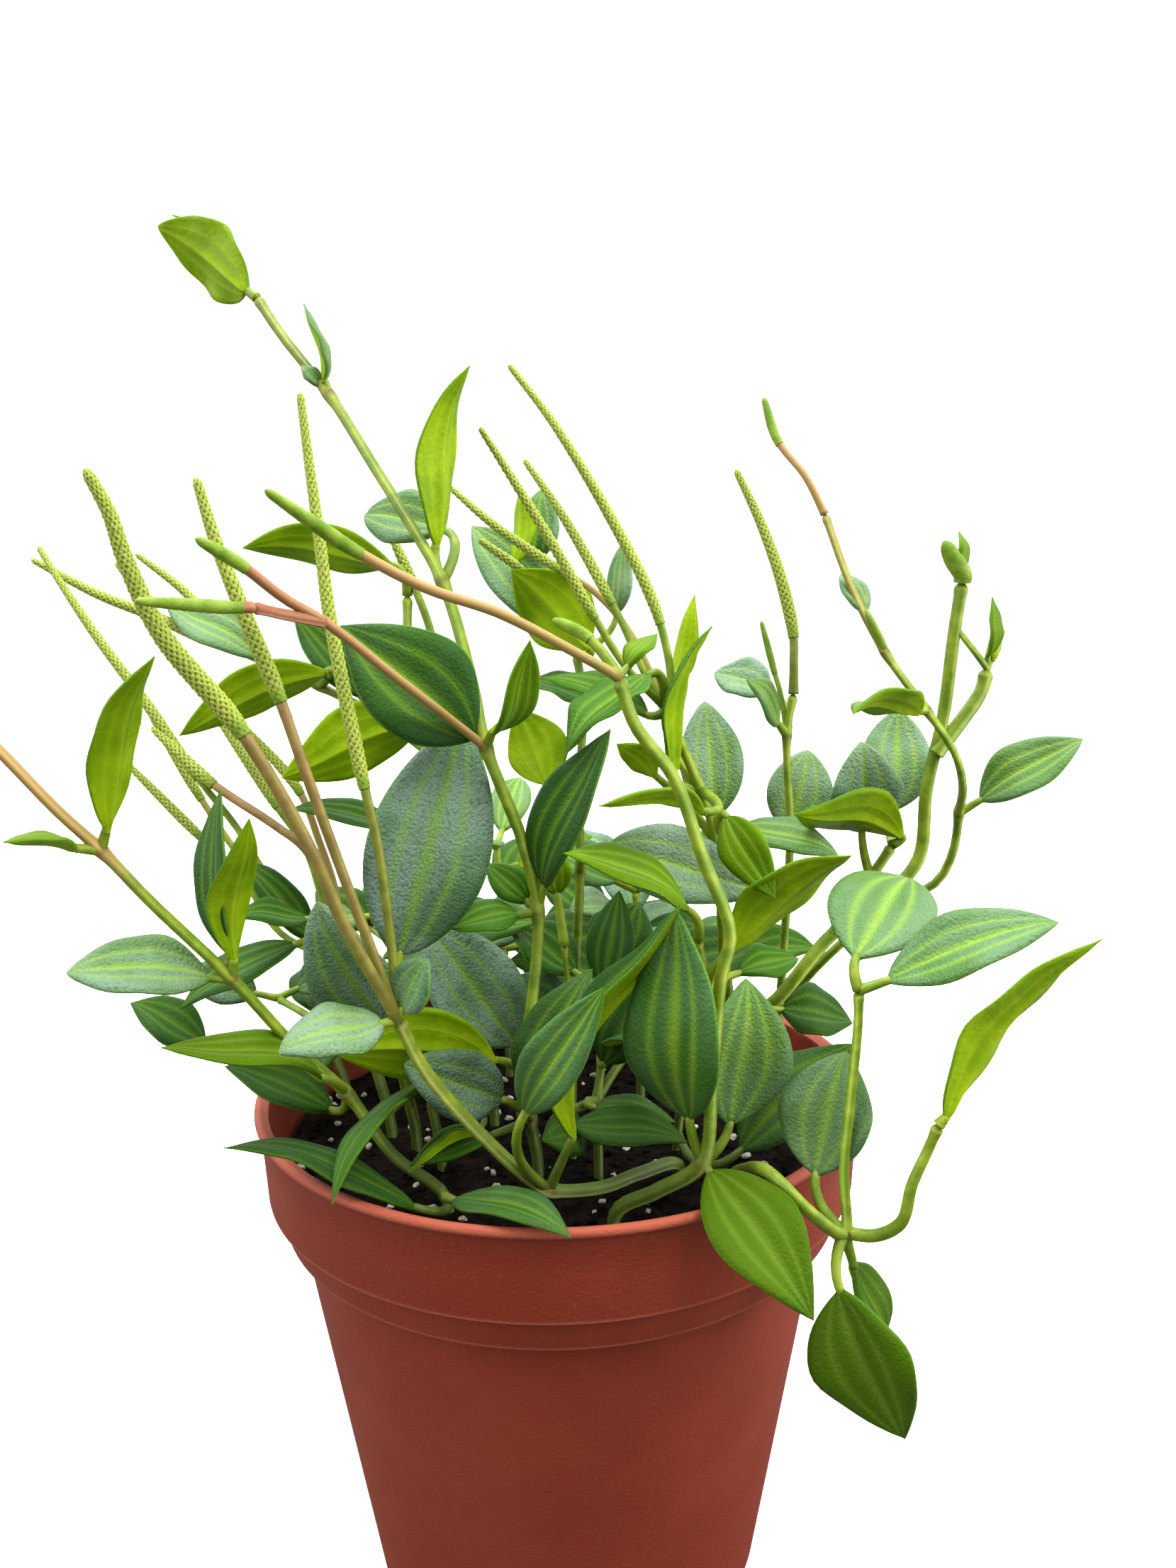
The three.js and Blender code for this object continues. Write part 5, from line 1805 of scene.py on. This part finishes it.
@dataclass
class Soil:
    """The potting mix: an uneven crumbly top over a plain body, with perlite and loose crumbs."""

    crumb: Material
    perlite: Material
    top: float = 78
    rim_radius: float = 47.5
    body: tuple[Pair, ...] = ((47.5, 73), (43.9, 67.4), (32.9, 2.4))
    sides: int = 48
    cuts: int = 13
    heave: tuple[Pair, ...] = ((0.010, 3.0), (0.0035, 1.8))
    heave_middle: float = 0.6
    relief: float = 4
    smooth_below: float = 60
    seed: int = 5

    def build(self) -> None:
        """Builds the filling and strews the perlite and the crumbs on it."""
        filling = self.filling()
        surface = places_of(filling) / MM
        surface = surface[surface[:, 2] > self.top - self.relief]
        bits = Lumps("perlite_bits", self.perlite, 150, 2, (0.5, 1.15), 0.65)
        crumbs = Lumps("soil_crumbs", self.crumb, 420, 1, (0.4, 1.3), 0.6)
        strewn = [lumps.strewn(surface, self.rim_radius, self.seed) for lumps in (bits, crumbs)]
        settle(filling, SOIL, "soil")
        for piece in strewn:
            settle(piece, SOIL)

    def filling(self) -> Piece:
        """The filling itself, closed down to the pot's floor.

        Returns:
            The filling.
        """
        filling = start_disc(self.sides, self.rim_radius * MM, self.top * MM, "TRIFAN")
        bpy.ops.mesh.subdivide(number_cuts=self.cuts)
        bpy.ops.object.mode_set(mode="OBJECT")
        for size, strength in self.heave:
            lumps = bpy.data.textures.new("soil_lumps", "CLOUDS")
            give(lumps, {"noise_scale": size, "noise_depth": 2})
            change(
                filling, "DISPLACE",
                texture=lumps, strength=strength * MM, mid_level=self.heave_middle,
            )
            bpy.data.textures.remove(lumps)
        bpy.ops.object.mode_set(mode="EDIT")
        bpy.ops.mesh.select_all(action="DESELECT")
        bpy.context.tool_settings.mesh_select_mode = (False, True, False)
        bpy.ops.mesh.select_non_manifold(extend=False)
        rings = [(r * MM, z * MM) for r, z in ((self.rim_radius, self.top), *self.body)]
        grow_rings(bpy.ops.mesh.extrude_edges_move, rings)
        bpy.ops.transform.resize(value=(1, 1, 0), center_override=(0, 0, rings[-1][1]))
        bpy.ops.mesh.edge_face_add()
        end_editing()
        bpy.context.tool_settings.mesh_select_mode = (True, False, False)
        bpy.ops.object.shade_smooth_by_angle(angle=math.radians(self.smooth_below))
        filling.data.materials.append(self.crumb)
        return name_piece(filling, "potting_mix")


@dataclass(frozen=True)
class Lamp:
    """One soft lamp: where it hangs, its side in metres, its power in watts and its colour."""

    name: str
    place: Point
    size: float
    power: float
    colour: Colour = (1.0, 1.0, 1.0)

    def hang(self, aim: Vector) -> None:
        """Adds the lamp, turned towards a point.

        Args:
            aim: The point.
        """
        clear_selection()
        bpy.ops.object.light_add(type="AREA", location=self.place)
        lamp = name_piece(bpy.context.object, self.name)
        settings = {"shape": "SQUARE", "size": self.size, "energy": self.power}
        give(lamp.data, settings | {"color": self.colour})
        lamp.rotation_mode = "QUATERNION"
        lamp.rotation_quaternion = (aim - Vector(self.place)).to_track_quat("-Z", "Y")


@dataclass
class Studio:
    """The floor, the soft lights and the camera at the photograph's viewing angle."""

    eye: Point = (0.0, -0.1981, 0.1725)
    pitch: float = 9.35
    yaw: float = 1.62
    roll: float = -0.77
    lens: float = 27.03
    sensor: float = 36
    clip: Pair = (0.01, 50)
    white: Colour = (0.93, 0.94, 0.95)
    bounce: Colour = (0.10, 0.10, 0.09)
    daylight: Colour = (0.95, 0.98, 1.0)
    floor_radius: float = 1.5
    floor_glow: Ramp = (0.03, 0.20, 0.45, 1.05)
    sky: Ramp = (-0.20, 0.85, 0.52, 2.60)
    front: Ramp = (-0.9, 0.1, 0.74, 1.0)
    backdrop: float = 1.2
    lit_height: float = 0.11
    lamps: tuple[Lamp, ...] = (
        Lamp("key", (0.60, -0.55, 1.30), 0.6, 17.0, (1.0, 0.98, 0.94)),
        Lamp("top", (-0.25, 0.10, 1.5), 0.8, 26.0, (0.92, 0.97, 1.0)),
        Lamp("right", (1.2, -0.25, 0.45), 0.8, 17.0),
        Lamp("left", (-1.2, -0.35, 0.40), 0.8, 11.0),
    )

    def build(self) -> None:
        """Sets up the floor, the world, the lights, the camera and how colours are shown."""
        bpy.context.scene.view_settings.view_transform = "Standard"
        self.floor()
        self.world()
        for lamp in self.lamps:
            lamp.hang(Vector((0, 0, self.lit_height)))
        self.camera()

    def floor(self) -> None:
        """A plain white floor that grows shadowless away from the pot, with a dim bounce."""
        start_disc(64, self.floor_radius)
        clear_selection()
        floor = name_piece(bpy.context.object, "floor")
        material = bpy.data.materials.new("floor_white")
        material.use_nodes = True
        sketch = Sketch(material.node_tree)
        inputs = {0: sketch.own_place()}
        distance = sketch.node("ShaderNodeVectorMath", inputs, operation="LENGTH")
        away = sketch.span(distance.outputs["Value"], *self.floor_glow)
        glow = sketch.node("ShaderNodeEmission", {"Strength": away})
        matt = sketch.node("ShaderNodeBsdfDiffuse", {"Color": self.white})
        bright = sketch.node("ShaderNodeAddShader", {0: glow.outputs[0], 1: matt.outputs[0]})
        dim = sketch.node("ShaderNodeBsdfDiffuse", {"Color": self.bounce})
        seen = sketch.node("ShaderNodeLightPath").outputs["Is Camera Ray"]
        inputs = {0: seen, 1: dim.outputs[0], 2: bright.outputs[0]}
        choice = sketch.node("ShaderNodeMixShader", inputs)
        sketch.node("ShaderNodeOutputMaterial", {"Surface": choice.outputs[0]})
        floor.data.materials.append(material)

    def world(self) -> None:
        """White daylight from above and both sides, dim from below and from behind the camera."""
        world = bpy.data.worlds.new("daylight")
        bpy.context.scene.world = world
        world.use_nodes = True
        sketch = Sketch(world.node_tree)
        way = sketch.parts(sketch.node("ShaderNodeTexCoord").outputs["Generated"])
        light = sketch.times(sketch.span(way["Z"], *self.sky), sketch.span(way["Y"], *self.front))
        seen = sketch.node("ShaderNodeLightPath").outputs["Is Camera Ray"]
        strength = sketch.maths("MAXIMUM", light, sketch.times(seen, self.backdrop))
        inputs = {"Color": self.daylight, "Strength": strength}
        background = sketch.node("ShaderNodeBackground", inputs)
        sketch.node("ShaderNodeOutputWorld", {"Surface": background.outputs[0]})

    def camera(self) -> None:
        """Places the camera as the photograph was taken."""
        pitch, yaw, roll = (math.radians(a) for a in (self.pitch, self.yaw, self.roll))
        level_way = Vector((math.sin(yaw), math.cos(yaw), 0)) * math.cos(pitch)
        ahead = level_way - Vector((0, 0, math.sin(pitch)))
        level = Vector((math.cos(yaw), -math.sin(yaw), 0))
        above = level.cross(ahead)
        right = level * math.cos(roll) + above * math.sin(roll)
        up = above * math.cos(roll) - level * math.sin(roll)
        turned = Matrix((right, up, -ahead)).transposed().to_4x4()
        clear_selection()
        bpy.ops.object.camera_add()
        camera = bpy.context.object
        camera.matrix_world = Matrix.Translation(self.eye) @ turned
        near, far = self.clip
        settings = {"lens": self.lens, "sensor_width": self.sensor}
        give(camera.data, settings | {"clip_start": near, "clip_end": far})
        bpy.context.scene.camera = camera


def main() -> None:
    """Builds the object and its studio, piece by piece."""
    logging.basicConfig(level=logging.INFO, format="%(message)s")
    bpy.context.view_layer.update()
    clear_selection()
    log.info("packed nodes: %d", len(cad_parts))
    finishes = Finishes()
    Pot(finishes.pot).build()
    Soil(finishes.soil, finishes.perlite).build()
    Shoots(finishes).build()
    Studio().build()


if __name__ == "__main__":
    main()
